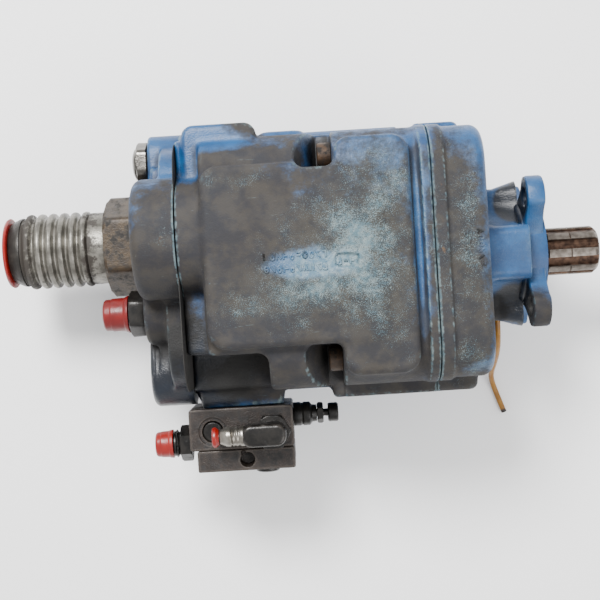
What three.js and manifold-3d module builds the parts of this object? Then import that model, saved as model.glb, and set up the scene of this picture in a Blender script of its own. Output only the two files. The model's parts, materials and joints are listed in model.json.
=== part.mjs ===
// Variable-displacement axial piston pump with its control block, ports plugged. Millimetres.
// Pump frame: X runs along the drive shaft, out of the mounting flange; X = 0 is the flange's face.
// The swashplate tilts about a line along Z. The finished group stands on its underside at Z = 0.
import * as THREE from "three";
import { mergeVertices } from "three/addons/utils/BufferGeometryUtils.js";
import Module from "manifold-3d";

const wasm = await Module();
wasm.setup();

// ---------- Driving dimensions ----------
const TOUCH = 0.3; // gap between pieces that touch
const SEAM = 0.8; // gap between two castings, for the joint sheet and its clearances
const SHEET = 0.5; // thickness of a joint sheet
const SMALL = 8; // sides of small round pieces
const ROUND = 12; // sides of medium round pieces
const LARGE = 18; // sides of large round pieces
const FINE = 48; // sides of the swashplate's rockers and their cradle
const TURN = 2 * Math.PI;

const FLANGE = { thickness: 13, holePitch: 80, earRadius: 15, holeRadius: 6.5, waist: 36, waistRadius: 40 };
const NOSE = { radius: 26, length: 6, registerRadius: 40, registerLength: 2.5 };
const SPLINE = { teeth: 8, outer: 18, inner: 16, width: 6, end: 47, start: 7.5, chamfer: 3, turn: 7 };

const COVER = { rear: -85, shoulder: -47, edge: 9 };
const BODY = { rear: -262, low: -88, high: 93, under: -97, near: 86, corner: 32 };
const PLATE = { near: 97, left: -244, right: -100, step: -153, corner: 13, edge: 5 };
const LUG = { left: -259, right: -204, from: 60, to: 102, back: -30, front: 70, corner: 9, edge: 3 };
const REAR = { end: -294, boss: 43, barrel: 63, crest: 94, shelf: 66, portY: 24.2, portZ: -10, corner: 6 };
const PAD = {
  low: -97,
  high: 98.5,
  left: -160,
  right: -55,
  upperLeft: -91,
  upperRight: -57,
  upperHalf: 40,
  lowerHalf: 50,
  corner: 6,
  root: 8, // how far the pads reach into the body
};
const BOSS_RECESS = { front: -205, high: -60, back: 28 }; // the body stands back above the control boss
const CAVITY = 62; // radius of the space round the turning group

const TILT = { x: -150, angle: (16 * Math.PI) / 180, face: 10, rocker: 44, disc: 8, discRadius: 50 };
const PISTON = { count: 9, circle: 36.7, radius: 9, ball: 6.5, neck: 4, length: 68, slack: 1.2 };
const SLIPPER = { pad: 11.8, cup: 8.6, padThickness: 3.4, back: 3 };
const BLOCK = { front: -176, rear: -256, radius: 52, portRadius: 5 };
const RETAINER = { radius: 49, low: 2.2, high: 5.6 };
const VALVE_PLATE = { radius: 50, bore: 14 };

const JOURNAL = { seal: 18.5, bearing: 19, shoulder: 22, middle: 15, rear: 12 };
const FRONT_BEARING = { from: -72, to: -50, radius: 30 };
const REAR_BEARING = { from: -277, to: -263, radius: 17 };
const SEAL = { from: -6, to: 4, radius: 23.2 };
const SADDLE = { from: 31, to: 44, half: 33, liner: 2 };

const CONTROL = { y: -76, radius: 13, length: 60, boss: 23.5, bossZ: 4, bossEnd: -212, roller: 6, ridge: 17 };
const BIAS = { y: 85.5, radius: 8, length: 68, boss: 20, bossEnd: -288, roller: 6, ridge: 17, spotFace: 17.6 };

const VALVE = {
  left: -268,
  right: -190.5,
  low: -149,
  high: -102,
  back: -30,
  front: 25,
  notch: 5, // the lower part is this much shorter, below notchY
  notchY: -133,
};
const BOTTOM_PLUG = { x: -212, head: 9.3, headLength: 5, thread: 7 };
const TAPPED_PIT = { x: -226, y: -141, radius: 5.5, depth: 9 };
const PIN_PIT = { x: -229, y: -135, radius: 2.2, depth: 5 };
const SPIGOT_HOLE = { radius: 7.3, depth: 9 };
const SPOOL = { y: -112, radius: 5, from: -252, to: -214 };
const BOLT = { shank: 5, head: 9, headLength: 10, headAt: -152, tip: -62, pocket: 18, clear: 2.5 };
const BOLT_ROWS = { upper: 76, lower: -68, near: 60, far: -74 };
const HOSE = { hex: 67, hexFrom: -324, ribRadius: 29, end: -398, bore: 20, ribs: 6 };
const PRESSURE = { y: -28, z: 22, boss: 24, bore: 9, hex: 30, capRadius: 13.5 };
const WIRE = { radius: 2.25, sides: 8, steps: 24 };
const OUTSIDE = 140; // further out than any casting

// Points that the tie wire's centre line passes through, in the pump frame.
const WIRE_ROUTE = [
  [-28, -38, -12.9],
  [-28, -46, -12.9],
  [-27.8, -54, -13.6],
  [-27.4, -62, -17],
  [-26.8, -70, -24],
  [-26.2, -77, -34],
  [-25.6, -83, -46],
  [-25, -89, -60],
  [-24.2, -94, -73],
  [-23, -99, -84],
  [-21, -105, -91.5],
  [-18.5, -112, -94.4],
  [-15.5, -121, -94.6],
  [-12, -131, -94.6],
];

// ---------- Solids ----------

// Turns a geometry's own Z axis along x, y or z, keeping a cyclic order of the other two.
function aim(geometry, axis) {
  const [x, y, z] = [new THREE.Vector3(1, 0, 0), new THREE.Vector3(0, 1, 0), new THREE.Vector3(0, 0, 1)];
  const bases = { x: [y, z, x], y: [z, x, y], z: [x, y, z] };
  return geometry.applyMatrix4(new THREE.Matrix4().makeBasis(...bases[axis]));
}

// A geometry's own closed surface as a solid.
function solid(geometry) {
  const bare = geometry.clone();
  bare.deleteAttribute("normal");
  bare.deleteAttribute("uv");
  const merged = mergeVertices(bare, 1e-4);
  const vertProperties = merged.attributes.position.array;
  return new wasm.Manifold(new wasm.Mesh({ numProp: 3, vertProperties, triVerts: merged.index.array }));
}

function union(...pieces) {
  return pieces.reduce((whole, piece) => whole.add(piece));
}

const sorted = (a, b) => [Math.min(a, b), Math.max(a, b)];

function block(x0, x1, y0, y1, z0, z1) {
  const box = new THREE.BoxGeometry(x1 - x0, y1 - y0, z1 - z0);
  return solid(box.translate((x0 + x1) / 2, (y0 + y1) / 2, (z0 + z1) / 2));
}

// A cylinder along an axis; u and v are its place along the next two axes in cyclic order.
function rod(axis, radius, from, to, u = 0, v = 0, sides = ROUND) {
  const cylinder = new THREE.CylinderGeometry(radius, radius, to - from, sides).rotateX(Math.PI / 2);
  return solid(aim(cylinder.translate(u, v, (from + to) / 2), axis));
}

// A hexagonal bar whose flats are `across` apart.
function hexRod(axis, across, from, to, u = 0, v = 0) {
  return rod(axis, across / Math.sqrt(3), from, to, u, v, 6);
}

// A turned piece about an axis through (u, v): its profile lists [distance along, radius], outwards.
function turned(axis, profile, u = 0, v = 0, sides = ROUND) {
  const points = profile.map(([along, radius]) => new THREE.Vector2(radius, along));
  const lathe = new THREE.LatheGeometry(points, sides).rotateX(Math.PI / 2);
  return solid(aim(lathe.translate(u, v, 0), axis));
}

// A ring with a round hole.
function ring(axis, inner, outer, from, to, u = 0, v = 0, sides = LARGE) {
  return turned(axis, [[from, inner], [from, outer], [to, outer], [to, inner], [from, inner]], u, v, sides);
}

function roundedRect(x0, x1, y0, y1, r) {
  const shape = new THREE.Shape();
  shape.moveTo(x0 + r, y0);
  shape.lineTo(x1 - r, y0).absarc(x1 - r, y0 + r, r, -TURN / 4, 0);
  shape.lineTo(x1, y1 - r).absarc(x1 - r, y1 - r, r, 0, TURN / 4);
  shape.lineTo(x0 + r, y1).absarc(x0 + r, y1 - r, r, TURN / 4, TURN / 2);
  shape.lineTo(x0, y0 + r).absarc(x0 + r, y0 + r, r, TURN / 2, (3 * TURN) / 4);
  return shape;
}

// A shape in the next two axes, carried along an axis, with its end edges rounded by `edge`.
function prism(axis, shape, from, to, edge = 0, arcSteps = 4) {
  const options = {
    depth: to - from - 2 * edge,
    curveSegments: arcSteps,
    bevelEnabled: edge > 0,
    bevelThickness: edge,
    bevelSize: edge,
    bevelOffset: -edge,
    bevelSegments: 2,
  };
  return solid(aim(new THREE.ExtrudeGeometry(shape, options).translate(0, 0, from + edge), axis));
}

function polygon(points) {
  return new THREE.Shape(points.map(([x, y]) => new THREE.Vector2(x, y)));
}

// A round bar of `sides` sides along a curve.
function bar(curve, radius, steps, sides) {
  const points = Array.from({ length: sides }, (_, i) => {
    const angle = (TURN * i) / sides;
    return [radius * Math.cos(angle), radius * Math.sin(angle)];
  });
  return solid(new THREE.ExtrudeGeometry(polygon(points), { extrudePath: curve, steps }));
}

class Helix extends THREE.Curve {
  constructor(from, to, radius, turns, y, z) {
    super();
    Object.assign(this, { from, to, radius, turns, y, z });
  }
  getPoint(t, target = new THREE.Vector3()) {
    const angle = TURN * this.turns * t;
    const x = this.from + (this.to - this.from) * t;
    return target.set(x, this.y + this.radius * Math.cos(angle), this.z + this.radius * Math.sin(angle));
  }
}

function coilSpring(from, to, radius, wire, turns, y = 0, z = 0) {
  const helix = new Helix(from + wire, to - wire, radius, turns, y, z);
  return bar(helix, wire, turns * 10, 5);
}

// ---------- Scene graph ----------
const LOOKS = {
  paint: { color: 0x3f7196, roughness: 0.62, metalness: 0.1 },
  oilyIron: { color: 0x2a2623, roughness: 0.55, metalness: 0.4 },
  blackSteel: { color: 0x1c1b1a, roughness: 0.5, metalness: 0.5 },
  steel: { color: 0x8d8a84, roughness: 0.35, metalness: 0.9 },
  brownSteel: { color: 0x6e6055, roughness: 0.4, metalness: 0.85 },
  castAlloy: { color: 0xa7a39a, roughness: 0.5, metalness: 0.7 },
  bronze: { color: 0x9a7645, roughness: 0.4, metalness: 0.85 },
  redPlastic: { color: 0xb5221c, roughness: 0.45, metalness: 0 },
  rubber: { color: 0x161616, roughness: 0.8, metalness: 0 },
  gasket: { color: 0x2b2a28, roughness: 0.9, metalness: 0 },
  yellow: { color: 0xd9a21b, roughness: 0.5, metalness: 0 },
};

const pump = new THREE.Group();
const tilting = new THREE.Group();
tilting.position.x = TILT.x;
tilting.rotation.z = -TILT.angle;
pump.add(tilting);

function add(name, made, look, parent = pump) {
  const mesh = made.getMesh();
  const geometry = new THREE.BufferGeometry();
  geometry.setAttribute("position", new THREE.BufferAttribute(mesh.vertProperties, 3));
  geometry.setIndex(new THREE.BufferAttribute(mesh.triVerts, 1));
  geometry.computeVertexNormals();
  const piece = new THREE.Mesh(geometry, new THREE.MeshStandardMaterial(LOOKS[look]));
  piece.name = name;
  parent.add(piece);
  return piece;
}

// ---------- Castings ----------
const bodySection = () => roundedRect(BODY.low, BODY.high, BODY.under, BODY.near, BODY.corner);
const { upper, lower, near, far } = BOLT_ROWS;
const boltPlaces = [[upper, near], [lower, near], [upper, far], [lower, far]];
const halfPitch = FLANGE.holePitch / 2;
const flangeHoles = [1, -1].flatMap((y) => [1, -1].map((z) => [y * halfPitch, z * halfPitch]));
const ear = halfPitch + FLANGE.earRadius; // from the shaft's axis to the flange's outer sides

// Long bolts hold the front cover to the main housing: a clearance hole for each.
function drillForBolts(casting) {
  const { shank, headAt, tip } = BOLT;
  const holes = boltPlaces.map(([y, z]) => rod("x", shank + TOUCH, headAt - 1, tip - TOUCH, y, z, SMALL));
  return holes.reduce((left, hole) => left.subtract(hole), casting);
}

// Square flange with round ears, its four sides drawn in between the ears.
function flangePlate() {
  let plate = prism("x", roundedRect(-ear, ear, -ear, ear, FLANGE.earRadius), -FLANGE.thickness, 0, 1.5);
  const centre = FLANGE.waist + FLANGE.waistRadius;
  for (const [y, z] of [[centre, 0], [-centre, 0], [0, centre], [0, -centre]]) {
    plate = plate.subtract(rod("x", FLANGE.waistRadius, -FLANGE.thickness - 1, 1, y, z, 28));
  }
  return plate;
}

// The neck between the cover's shoulder and the flange, widening to the ears in both views.
function neck() {
  const narrow = ear - 4;
  const wide = ear - 1;
  const from = COVER.shoulder - 4;
  const widening = -FLANGE.thickness - 9;
  const to = -FLANGE.thickness + 3;
  const side = [
    [from, -narrow],
    [COVER.shoulder, -narrow],
    [widening, -wide],
    [to, -wide],
    [to, wide],
    [widening, wide],
    [COVER.shoulder, narrow],
    [from, narrow],
  ];
  const turnedSide = polygon(side.map(([x, z]) => [z, x]).reverse());
  const inPlan = prism("z", polygon(side), -ear, ear);
  return inPlan.intersect(prism("y", turnedSide, -ear, ear));
}

// A scoop behind each ear leaves room for a bolt's head and a spanner.
function scoops() {
  const scoopRadius = (COVER.shoulder + FLANGE.thickness) / -2;
  const x = (COVER.shoulder - FLANGE.thickness) / 2;
  const web = 10;
  const depth = 42;
  const reach = FLANGE.holePitch;
  const one = (side, from, to) => {
    const [low, high] = sorted(side * depth, side * reach);
    const round = rod("z", scoopRadius, from, to, x, side * depth, ROUND);
    return round.add(block(x - scoopRadius, x + scoopRadius, low, high, from, to));
  };
  return union(one(1, web, reach), one(-1, web, reach), one(1, -reach, -web), one(-1, -reach, -web));
}

function frontCover() {
  const shell = prism("x", bodySection(), COVER.rear - COVER.edge, COVER.shoulder, COVER.edge);
  const front = shell.intersect(block(COVER.rear, 0, -200, 200, -200, 200));
  const { upperHalf, upperLeft, upperRight, corner } = PAD;
  const upperPad = roundedRect(-upperHalf, upperHalf, upperLeft, upperRight, corner);
  const pads = union(
    block(COVER.rear, PAD.right, PAD.low, BODY.low + PAD.root, -PAD.lowerHalf, PAD.lowerHalf),
    prism("y", upperPad, BODY.high - PAD.root, PAD.high).intersect(block(COVER.rear, 0, 0, 200, -200, 200)),
  );
  const saddles = [1, -1].map((side) => {
    const z = sorted(side * SADDLE.from, side * SADDLE.to);
    return block(TILT.x + 20, COVER.rear + 6, -SADDLE.half, SADDLE.half, ...z);
  });
  const nose = union(
    rod("x", NOSE.radius, -1, NOSE.length, 0, 0, LARGE),
    rod("x", NOSE.registerRadius, -FLANGE.thickness, NOSE.registerLength, 0, 0, 24),
  );
  let cover = union(front, pads, ...saddles, neck().subtract(scoops()), flangePlate().add(nose));
  const rocker = TILT.rocker + 2 * TOUCH + SADDLE.liner;
  const outside = NOSE.length + 1;
  const bearingEnd = FRONT_BEARING.to + TOUCH;
  cover = cover.subtract(rod("z", rocker, -SADDLE.to - 1, SADDLE.to + 1, TILT.x, 0, FINE));
  cover = cover.subtract(rod("x", FRONT_BEARING.radius + TOUCH, COVER.rear - 1, bearingEnd, 0, 0, LARGE));
  cover = cover.subtract(rod("x", JOURNAL.bearing + 1.5, COVER.rear - 1, outside, 0, 0, LARGE));
  cover = cover.subtract(rod("x", SEAL.radius + TOUCH, SEAL.from - TOUCH, outside, 0, 0, LARGE));
  for (const [y, z] of flangeHoles) {
    cover = cover.subtract(rod("x", FLANGE.holeRadius, -FLANGE.thickness - 1, 1, y, z, ROUND));
  }
  return drillForBolts(cover);
}

// The raised servo cover on the near side: a narrow rear part and a wider front part.
function raisedPlate() {
  const from = BODY.near - 45;
  const narrow = roundedRect(PLATE.left, PLATE.step + 30, -56, 69, PLATE.corner);
  const wide = roundedRect(PLATE.step, PLATE.right, -79, 84, PLATE.corner);
  const raise = (outline) => prism("z", outline, from, PLATE.near, PLATE.edge);
  return raise(narrow).add(raise(wide));
}

// The space inside the castings: round the turning group, with a slot for the two swashplate arms.
function mainCavity() {
  const armTop = BIAS.y + BIAS.roller + 1.5;
  const armBottom = CONTROL.y - CONTROL.roller - 1.5;
  return union(
    rod("x", CAVITY, BODY.rear - 1, COVER.rear + 1, 0, 0, 40),
    block(TILT.x - 33, TILT.x + 45, armBottom, armTop, -12, 12),
    rod("x", CONTROL.radius + TOUCH, BODY.rear - 1, TILT.x - 3, CONTROL.y, 0, ROUND),
    rod("x", BIAS.radius + TOUCH, BODY.rear - 1, armCentre(BIAS.y), BIAS.y, 0, ROUND),
  );
}

function mainHousing() {
  const front = COVER.rear - SEAM;
  const base = prism("x", bodySection(), BODY.rear, front);
  const upperRidge = rod("x", BIAS.ridge, BODY.rear, PAD.upperLeft - 7, BIAS.y, 0, LARGE);
  const lowerRidge = rod("x", CONTROL.ridge, BODY.rear, PAD.left + 5, CONTROL.y, 0, LARGE);
  const lugOutline = roundedRect(LUG.left, LUG.right, LUG.from, LUG.to, LUG.corner);
  const lug = prism("z", lugOutline, LUG.back, LUG.front, LUG.edge);
  const barrel = prism("x", barrelSection(), BODY.rear, PLATE.left + PAD.root);
  const body = base.subtract(rearRecesses());
  const ridges = upperRidge.add(lowerRidge);
  let housing = union(body, barrel, lug, ridges, bodyPads(front), raisedPlate(), controlBoss());
  for (const [y, z] of boltPlaces) {
    const clear = BOLT.head + BOLT.clear;
    const [inner, outer] = sorted(y - Math.sign(y) * clear, Math.sign(y) * OUTSIDE);
    const outline = roundedRect(BOLT.headAt - BOLT.pocket, BOLT.headAt, inner, outer, BOLT.clear);
    const [low, high] = sorted(z - Math.sign(z) * clear, Math.sign(z) * OUTSIDE);
    housing = housing.subtract(prism("z", outline, low, high, 0, 3));
  }
  return drillForBolts(housing.subtract(mainCavity()));
}

// The body's feet: a long pad below, one above by the cover, and one that carries the control block.
function bodyPads(front) {
  const { right, back, front: near, high } = VALVE;
  const root = BODY.low + PAD.root;
  return union(
    block(PAD.left, front, PAD.low, root, -PAD.lowerHalf, PAD.lowerHalf),
    block(PAD.upperLeft, front, BODY.high - PAD.root, PAD.high, -PAD.upperHalf, PAD.upperHalf),
    block(BODY.rear + 4, right - 6, high + TOUCH, root, back + 4, near - 4),
  );
}

// The body steps down towards the rear: beside the control boss, and behind the raised plate.
function rearRecesses() {
  const rear = BODY.rear - 1;
  const { front, high, back } = BOSS_RECESS;
  const besideBoss = block(rear, front, BODY.low - 20, high, back, OUTSIDE);
  return besideBoss.add(block(rear, PLATE.left + 2, BODY.low, BODY.high + 1, REAR.shelf, OUTSIDE));
}

// The front part of the control piston's boss, with a domed end.
function controlBoss() {
  const { boss, bossEnd, y, bossZ } = CONTROL;
  const domeLength = 8;
  const profile = [[0, 0], [0, boss], [4, boss * 0.9], [domeLength, boss * 0.6], [domeLength + 2, 0]];
  const dome = turned("x", profile).translate([bossEnd - domeLength, y, bossZ]);
  return rod("x", boss, BODY.rear, bossEnd - domeLength, y, bossZ, LARGE).add(dome);
}

// Outline across X of the suction barrel, which the main and the rear housing share.
function barrelSection() {
  const { portY, boss, barrel, crest } = REAR;
  return roundedRect(portY - boss, portY + boss, -barrel, crest, boss - 3);
}

// Rear housing: a round suction boss, the bias spring's boss and the control piston's boss.
function rearHousing() {
  const front = BODY.rear - SEAM;
  const { end, corner, portY, portZ } = REAR;
  const disc = prism("x", roundedRect(BODY.low + 2, BODY.high, -88, 50, 32), front - 14, front);
  const barrel = barrelSection();
  const suction = prism("x", barrel, end, front, corner).add(prism("x", barrel, end + 10, front));
  const bias = rod("x", BIAS.boss, BIAS.bossEnd, front, BIAS.y, 0, LARGE);
  const control = rod("x", CONTROL.boss, end, front, CONTROL.y, CONTROL.bossZ, LARGE);
  const pressure = rod("x", PRESSURE.boss, end, front, PRESSURE.y, PRESSURE.z, LARGE);
  const web = block(end + 8, front, CONTROL.y, BIAS.y - 6, -18, 26);
  const bores = [
    rod("x", HOSE.bore, end - 1, end + 14, portY, portZ, LARGE),
    rod("x", 7, end + 10, front + 1, portY + 3, portZ - 14, SMALL), // down to the suction kidney
    rod("x", PRESSURE.bore, end - 1, front + 1, PRESSURE.y, PRESSURE.z, SMALL),
    rod("x", REAR_BEARING.radius + TOUCH, REAR_BEARING.from - TOUCH, front + 1, 0, 0, LARGE),
    rod("x", CONTROL.radius + TOUCH, end + 8, front + 1, CONTROL.y, 0, ROUND),
    rod("x", BIAS.radius + TOUCH, BIAS.bossEnd - 1, front + 1, BIAS.y, 0, ROUND),
    rod("x", BIAS.spotFace, end - 1, BIAS.bossEnd, BIAS.y, 0, LARGE), // room for the plug's head
  ];
  const whole = union(disc, suction, bias, control, pressure, web);
  return bores.reduce((left, bore) => left.subtract(bore), whole);
}

// A thin joint sheet in a parting plane, a little inside the castings' outline and open inside.
function gasket(x, holes) {
  const inset = 2;
  const { low, high, under, near, corner } = BODY;
  const outline = roundedRect(low + inset, high - inset, under + inset, near - inset, corner - inset);
  return holes.reduce((left, hole) => left.subtract(hole), prism("x", outline, x, x + SHEET));
}

function rearGasket() {
  const x = BODY.rear - (SEAM + SHEET) / 2;
  const bores = [
    [CAVITY + 1, 0, 0, 36],
    [CONTROL.radius + 2, CONTROL.y, 0, ROUND],
    [BIAS.radius + 2, BIAS.y, 0, ROUND],
  ];
  return gasket(x, bores.map(([radius, y, z, sides]) => rod("x", radius, x - 1, x + 2, y, z, sides)));
}

function frontGasket() {
  const x = COVER.rear - (SEAM + SHEET) / 2;
  const holes = boltPlaces.map(([y, z]) => rod("x", BOLT.shank + TOUCH, x - 1, x + 2, y, z, SMALL));
  return gasket(x, [rod("x", CAVITY + 1, x - 1, x + 2, 0, 0, 40), ...holes]);
}

// ---------- Turning group ----------
function driveShaft() {
  const core = turned("x", [
    [REAR_BEARING.from, 0],
    [REAR_BEARING.from, JOURNAL.rear],
    [BLOCK.rear + 2, JOURNAL.rear],
    [BLOCK.rear + 2, JOURNAL.middle],
    [FRONT_BEARING.from - 9, JOURNAL.middle],
    [FRONT_BEARING.from - 9, JOURNAL.shoulder - 2],
    [FRONT_BEARING.from - TOUCH, JOURNAL.shoulder - 2],
    [FRONT_BEARING.from - TOUCH, JOURNAL.bearing],
    [FRONT_BEARING.to, JOURNAL.bearing],
    [FRONT_BEARING.to, JOURNAL.seal],
    [SPLINE.start - 2, JOURNAL.seal],
    [SPLINE.start - 2, SPLINE.inner],
    [SPLINE.end - 2, SPLINE.inner],
    [SPLINE.end, SPLINE.inner - 2],
    [SPLINE.end, 0],
  ], 0, 0, LARGE);
  const envelope = turned("x", [
    [SPLINE.start - 3, 0],
    [SPLINE.start - 3, SPLINE.outer],
    [SPLINE.end - SPLINE.chamfer, SPLINE.outer],
    [SPLINE.end, SPLINE.outer - SPLINE.chamfer],
    [SPLINE.end, 0],
  ], 0, 0, 32);
  let teeth = core;
  for (let i = 0; i < SPLINE.teeth / 2; i++) {
    const half = SPLINE.width / 2;
    const bar = block(SPLINE.start - 3, SPLINE.end, -half, half, -SPLINE.outer - 1, SPLINE.outer + 1);
    teeth = teeth.add(bar.rotate([(360 * i) / SPLINE.teeth + SPLINE.turn, 0, 0]).intersect(envelope));
  }
  return teeth;
}

const boreCircle = (PISTON.circle * (1 + Math.cos(TILT.angle))) / 2;
const pistonAngle = (k) => (TURN * k) / PISTON.count;

function cylinderBlock() {
  let made = ring("x", JOURNAL.middle + TOUCH, BLOCK.radius, BLOCK.rear, BLOCK.front, 0, 0, 36);
  const boreRadius = PISTON.radius + PISTON.slack;
  for (let k = 0; k < PISTON.count; k++) {
    const [y, z] = [boreCircle * Math.sin(pistonAngle(k)), boreCircle * Math.cos(pistonAngle(k))];
    made = made.subtract(rod("x", boreRadius, BLOCK.rear + 8, BLOCK.front + 1, y, z, ROUND));
    made = made.subtract(rod("x", BLOCK.portRadius, BLOCK.rear - 1, BLOCK.rear + 9, y, z, 8));
  }
  return made.subtract(rod("x", 20.5, BLOCK.front - 26, BLOCK.front + 1, 0, 0, ROUND));
}

// Profile points of a ball of `radius`, from the front of the ball back to `angle`.
function ballArc(radius, angle, steps) {
  return Array.from({ length: steps + 1 }, (_, i) => {
    const at = (angle * i) / steps;
    return [radius * Math.cos(at), i ? radius * Math.sin(at) : 0];
  });
}

// A piston along X whose ball centre is at the origin.
function piston() {
  const { ball, neck: neckRadius, radius, length } = PISTON;
  const arc = ballArc(ball, Math.PI - Math.asin(neckRadius / ball), 4);
  const profile = [[-length, 0], [-length, radius], [-11, radius], [-9, neckRadius]];
  return turned("x", [...profile, ...arc.reverse()], 0, 0, SMALL + 2);
}

// A slipper about the same centre: a cup round the ball and a flat pad on the swashplate's face.
function slipper() {
  const { pad, cup, padThickness, back } = SLIPPER;
  const hollow = PISTON.ball + 2 * TOUCH;
  const padTop = TILT.face - TOUCH;
  const inside = ballArc(hollow, Math.acos(-back / hollow), 4);
  const padBack = padTop - padThickness;
  const outside = [[-back, cup], [padBack, cup], [padBack, pad], [padTop, pad], [padTop, 0]];
  return turned("x", [...inside, ...outside], 0, 0, SMALL + 2);
}

function slipperRetainer() {
  let made = ring("x", 21.4, RETAINER.radius, RETAINER.low, RETAINER.high, 0, 0, 32);
  for (let k = 0; k < PISTON.count; k++) {
    const [y, z] = [PISTON.circle * Math.sin(pistonAngle(k)), PISTON.circle * Math.cos(pistonAngle(k))];
    made = made.subtract(rod("x", SLIPPER.cup + 2 * TOUCH, RETAINER.low - 1, RETAINER.high + 1, y, z, ROUND));
  }
  return made;
}

// The ball guide centres the retainer about the tilt centre and carries the block spring.
function ballGuide() {
  const sphere = 20.6;
  const front = 3.5;
  const back = -12;
  const arc = [front, 0, -6, back].map((x) => [TILT.x + x, Math.sqrt(sphere ** 2 - x ** 2)]).reverse();
  const bore = JOURNAL.middle + TOUCH;
  const tail = [[TILT.x - 25, bore], [TILT.x - 25, 18.5], [TILT.x + back, arc[0][1]]];
  return turned("x", [...tail, ...arc.slice(1), [TILT.x + front, bore], [TILT.x - 25, bore]], 0, 0, LARGE);
}

// An arm of the swashplate that reaches out to y and ends in a roller; it clears the slippers' sweep.
function swashArm(y, roller) {
  const span = (from, to) => sorted(Math.sign(y) * from, Math.sign(y) * to);
  const root = block(-5, TILT.face + TILT.disc, ...span(TILT.discRadius - 1, TILT.discRadius + 14), -8, 8);
  const arm = block(-5, 5, ...span(TILT.discRadius + 1, Math.abs(y)), -8, 8);
  return union(root, arm, rod("z", roller, -8, 8, 0, y, SMALL));
}

// Swashplate in its own frame: a face for the slippers, two rockers behind it and two arms.
function swashplate() {
  const { face, disc: thickness, rocker, discRadius } = TILT;
  const disc = rod("x", discRadius, face, face + thickness, 0, 0, 30);
  const rockers = [1, -1].map((side) => {
    const z = sorted(side * (SADDLE.from + 1), side * (SADDLE.to - 1));
    return rod("z", rocker, ...z, 0, 0, FINE).intersect(block(face + 1, rocker + 1, -60, 60, ...z));
  });
  const web = block(face, face + 16, -24, 24, -SADDLE.to + 1, SADDLE.to - 1);
  const plate = union(disc, web, ...rockers);
  const arms = union(swashArm(CONTROL.y, CONTROL.roller), swashArm(BIAS.y, BIAS.roller));
  return plate.add(arms).subtract(shaftSlot());
}

// The shaft's way through the swashplate: round at no tilt, drawn out along Y for full tilt.
function shaftSlot() {
  const radius = JOURNAL.middle + 3;
  const shift = (TILT.rocker + 2) * Math.tan(TILT.angle);
  const round = (y) => rod("x", radius, -10, 60, y, 0, ROUND);
  return union(round(0), round(shift), block(-10, 60, 0, shift, -radius, radius));
}

function cradleBearing(side) {
  const z = sorted(side * SADDLE.from, side * SADDLE.to);
  const inner = TILT.rocker + TOUCH;
  const arc = ring("z", inner, inner + SADDLE.liner, ...z, TILT.x, 0, FINE);
  return arc.intersect(block(TILT.x + 21, TILT.x + 60, -SADDLE.half, SADDLE.half, ...z));
}

// Valve plate with a kidney port on each side of the dead-centre line.
function valvePlate() {
  const from = BODY.rear - SEAM + TOUCH;
  const to = BLOCK.rear - TOUCH;
  let plate = ring("x", VALVE_PLATE.bore, VALVE_PLATE.radius, from, to, 0, 0, 30);
  for (const side of [0, TURN / 2]) {
    for (let i = -2; i <= 2; i++) {
      const angle = side + (i * TURN) / 18;
      const [y, z] = [boreCircle * Math.sin(angle), boreCircle * Math.cos(angle)];
      plate = plate.subtract(rod("x", 7, from - 1, to + 1, y, z, 8));
    }
  }
  return plate;
}

// ---------- Control pistons ----------
// The arm's roller centre at rest, full tilt, for an arm that reaches to y.
const armCentre = (y) => TILT.x + y * Math.sin(TILT.angle);

function plainPiston(y, radius, length, roller, hollow) {
  const tip = armCentre(y) - roller - TOUCH - 0.1;
  const back = tip - length;
  const cup = hollow ? [[back + 20, 0], [back + 20, radius - 1.5], [back, radius - 1.5]] : [[back, 0]];
  return turned("x", [...cup, [back, radius], [tip - 2, radius], [tip, radius - 2], [tip, 0]], y, 0, ROUND);
}

function biasSpring() {
  const back = armCentre(BIAS.y) - BIAS.roller - TOUCH - 0.1 - BIAS.length;
  return coilSpring(BIAS.bossEnd + 12.5, back + 20 - TOUCH, 4.8, 1.2, 6, BIAS.y, 0);
}

function biasPlug() {
  const { y, bossEnd, radius } = BIAS;
  const head = turned("x", [
    [bossEnd - 13, 0],
    [bossEnd - 12.4, 9],
    [bossEnd - 9, 14.8],
    [bossEnd - TOUCH, 14.8],
    [bossEnd - TOUCH, 0],
  ], y, 0, 24);
  const hexHead = hexRod("x", 30, bossEnd - 9, bossEnd - TOUCH, y, 0);
  return union(hexHead, head, rod("x", radius - 1, bossEnd - 1, bossEnd + 12, y, 0, ROUND));
}

// ---------- Control block and its fittings ----------
const VALVE_ELBOW = { x: -206, y: -121, z: 43, radius: 8.3 };
const LEFT_FITTING = { y: -129, z: 0 };
const SOCKET_PLUG = { x: -250.5, y: -119, radius: 7.4 };

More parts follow.
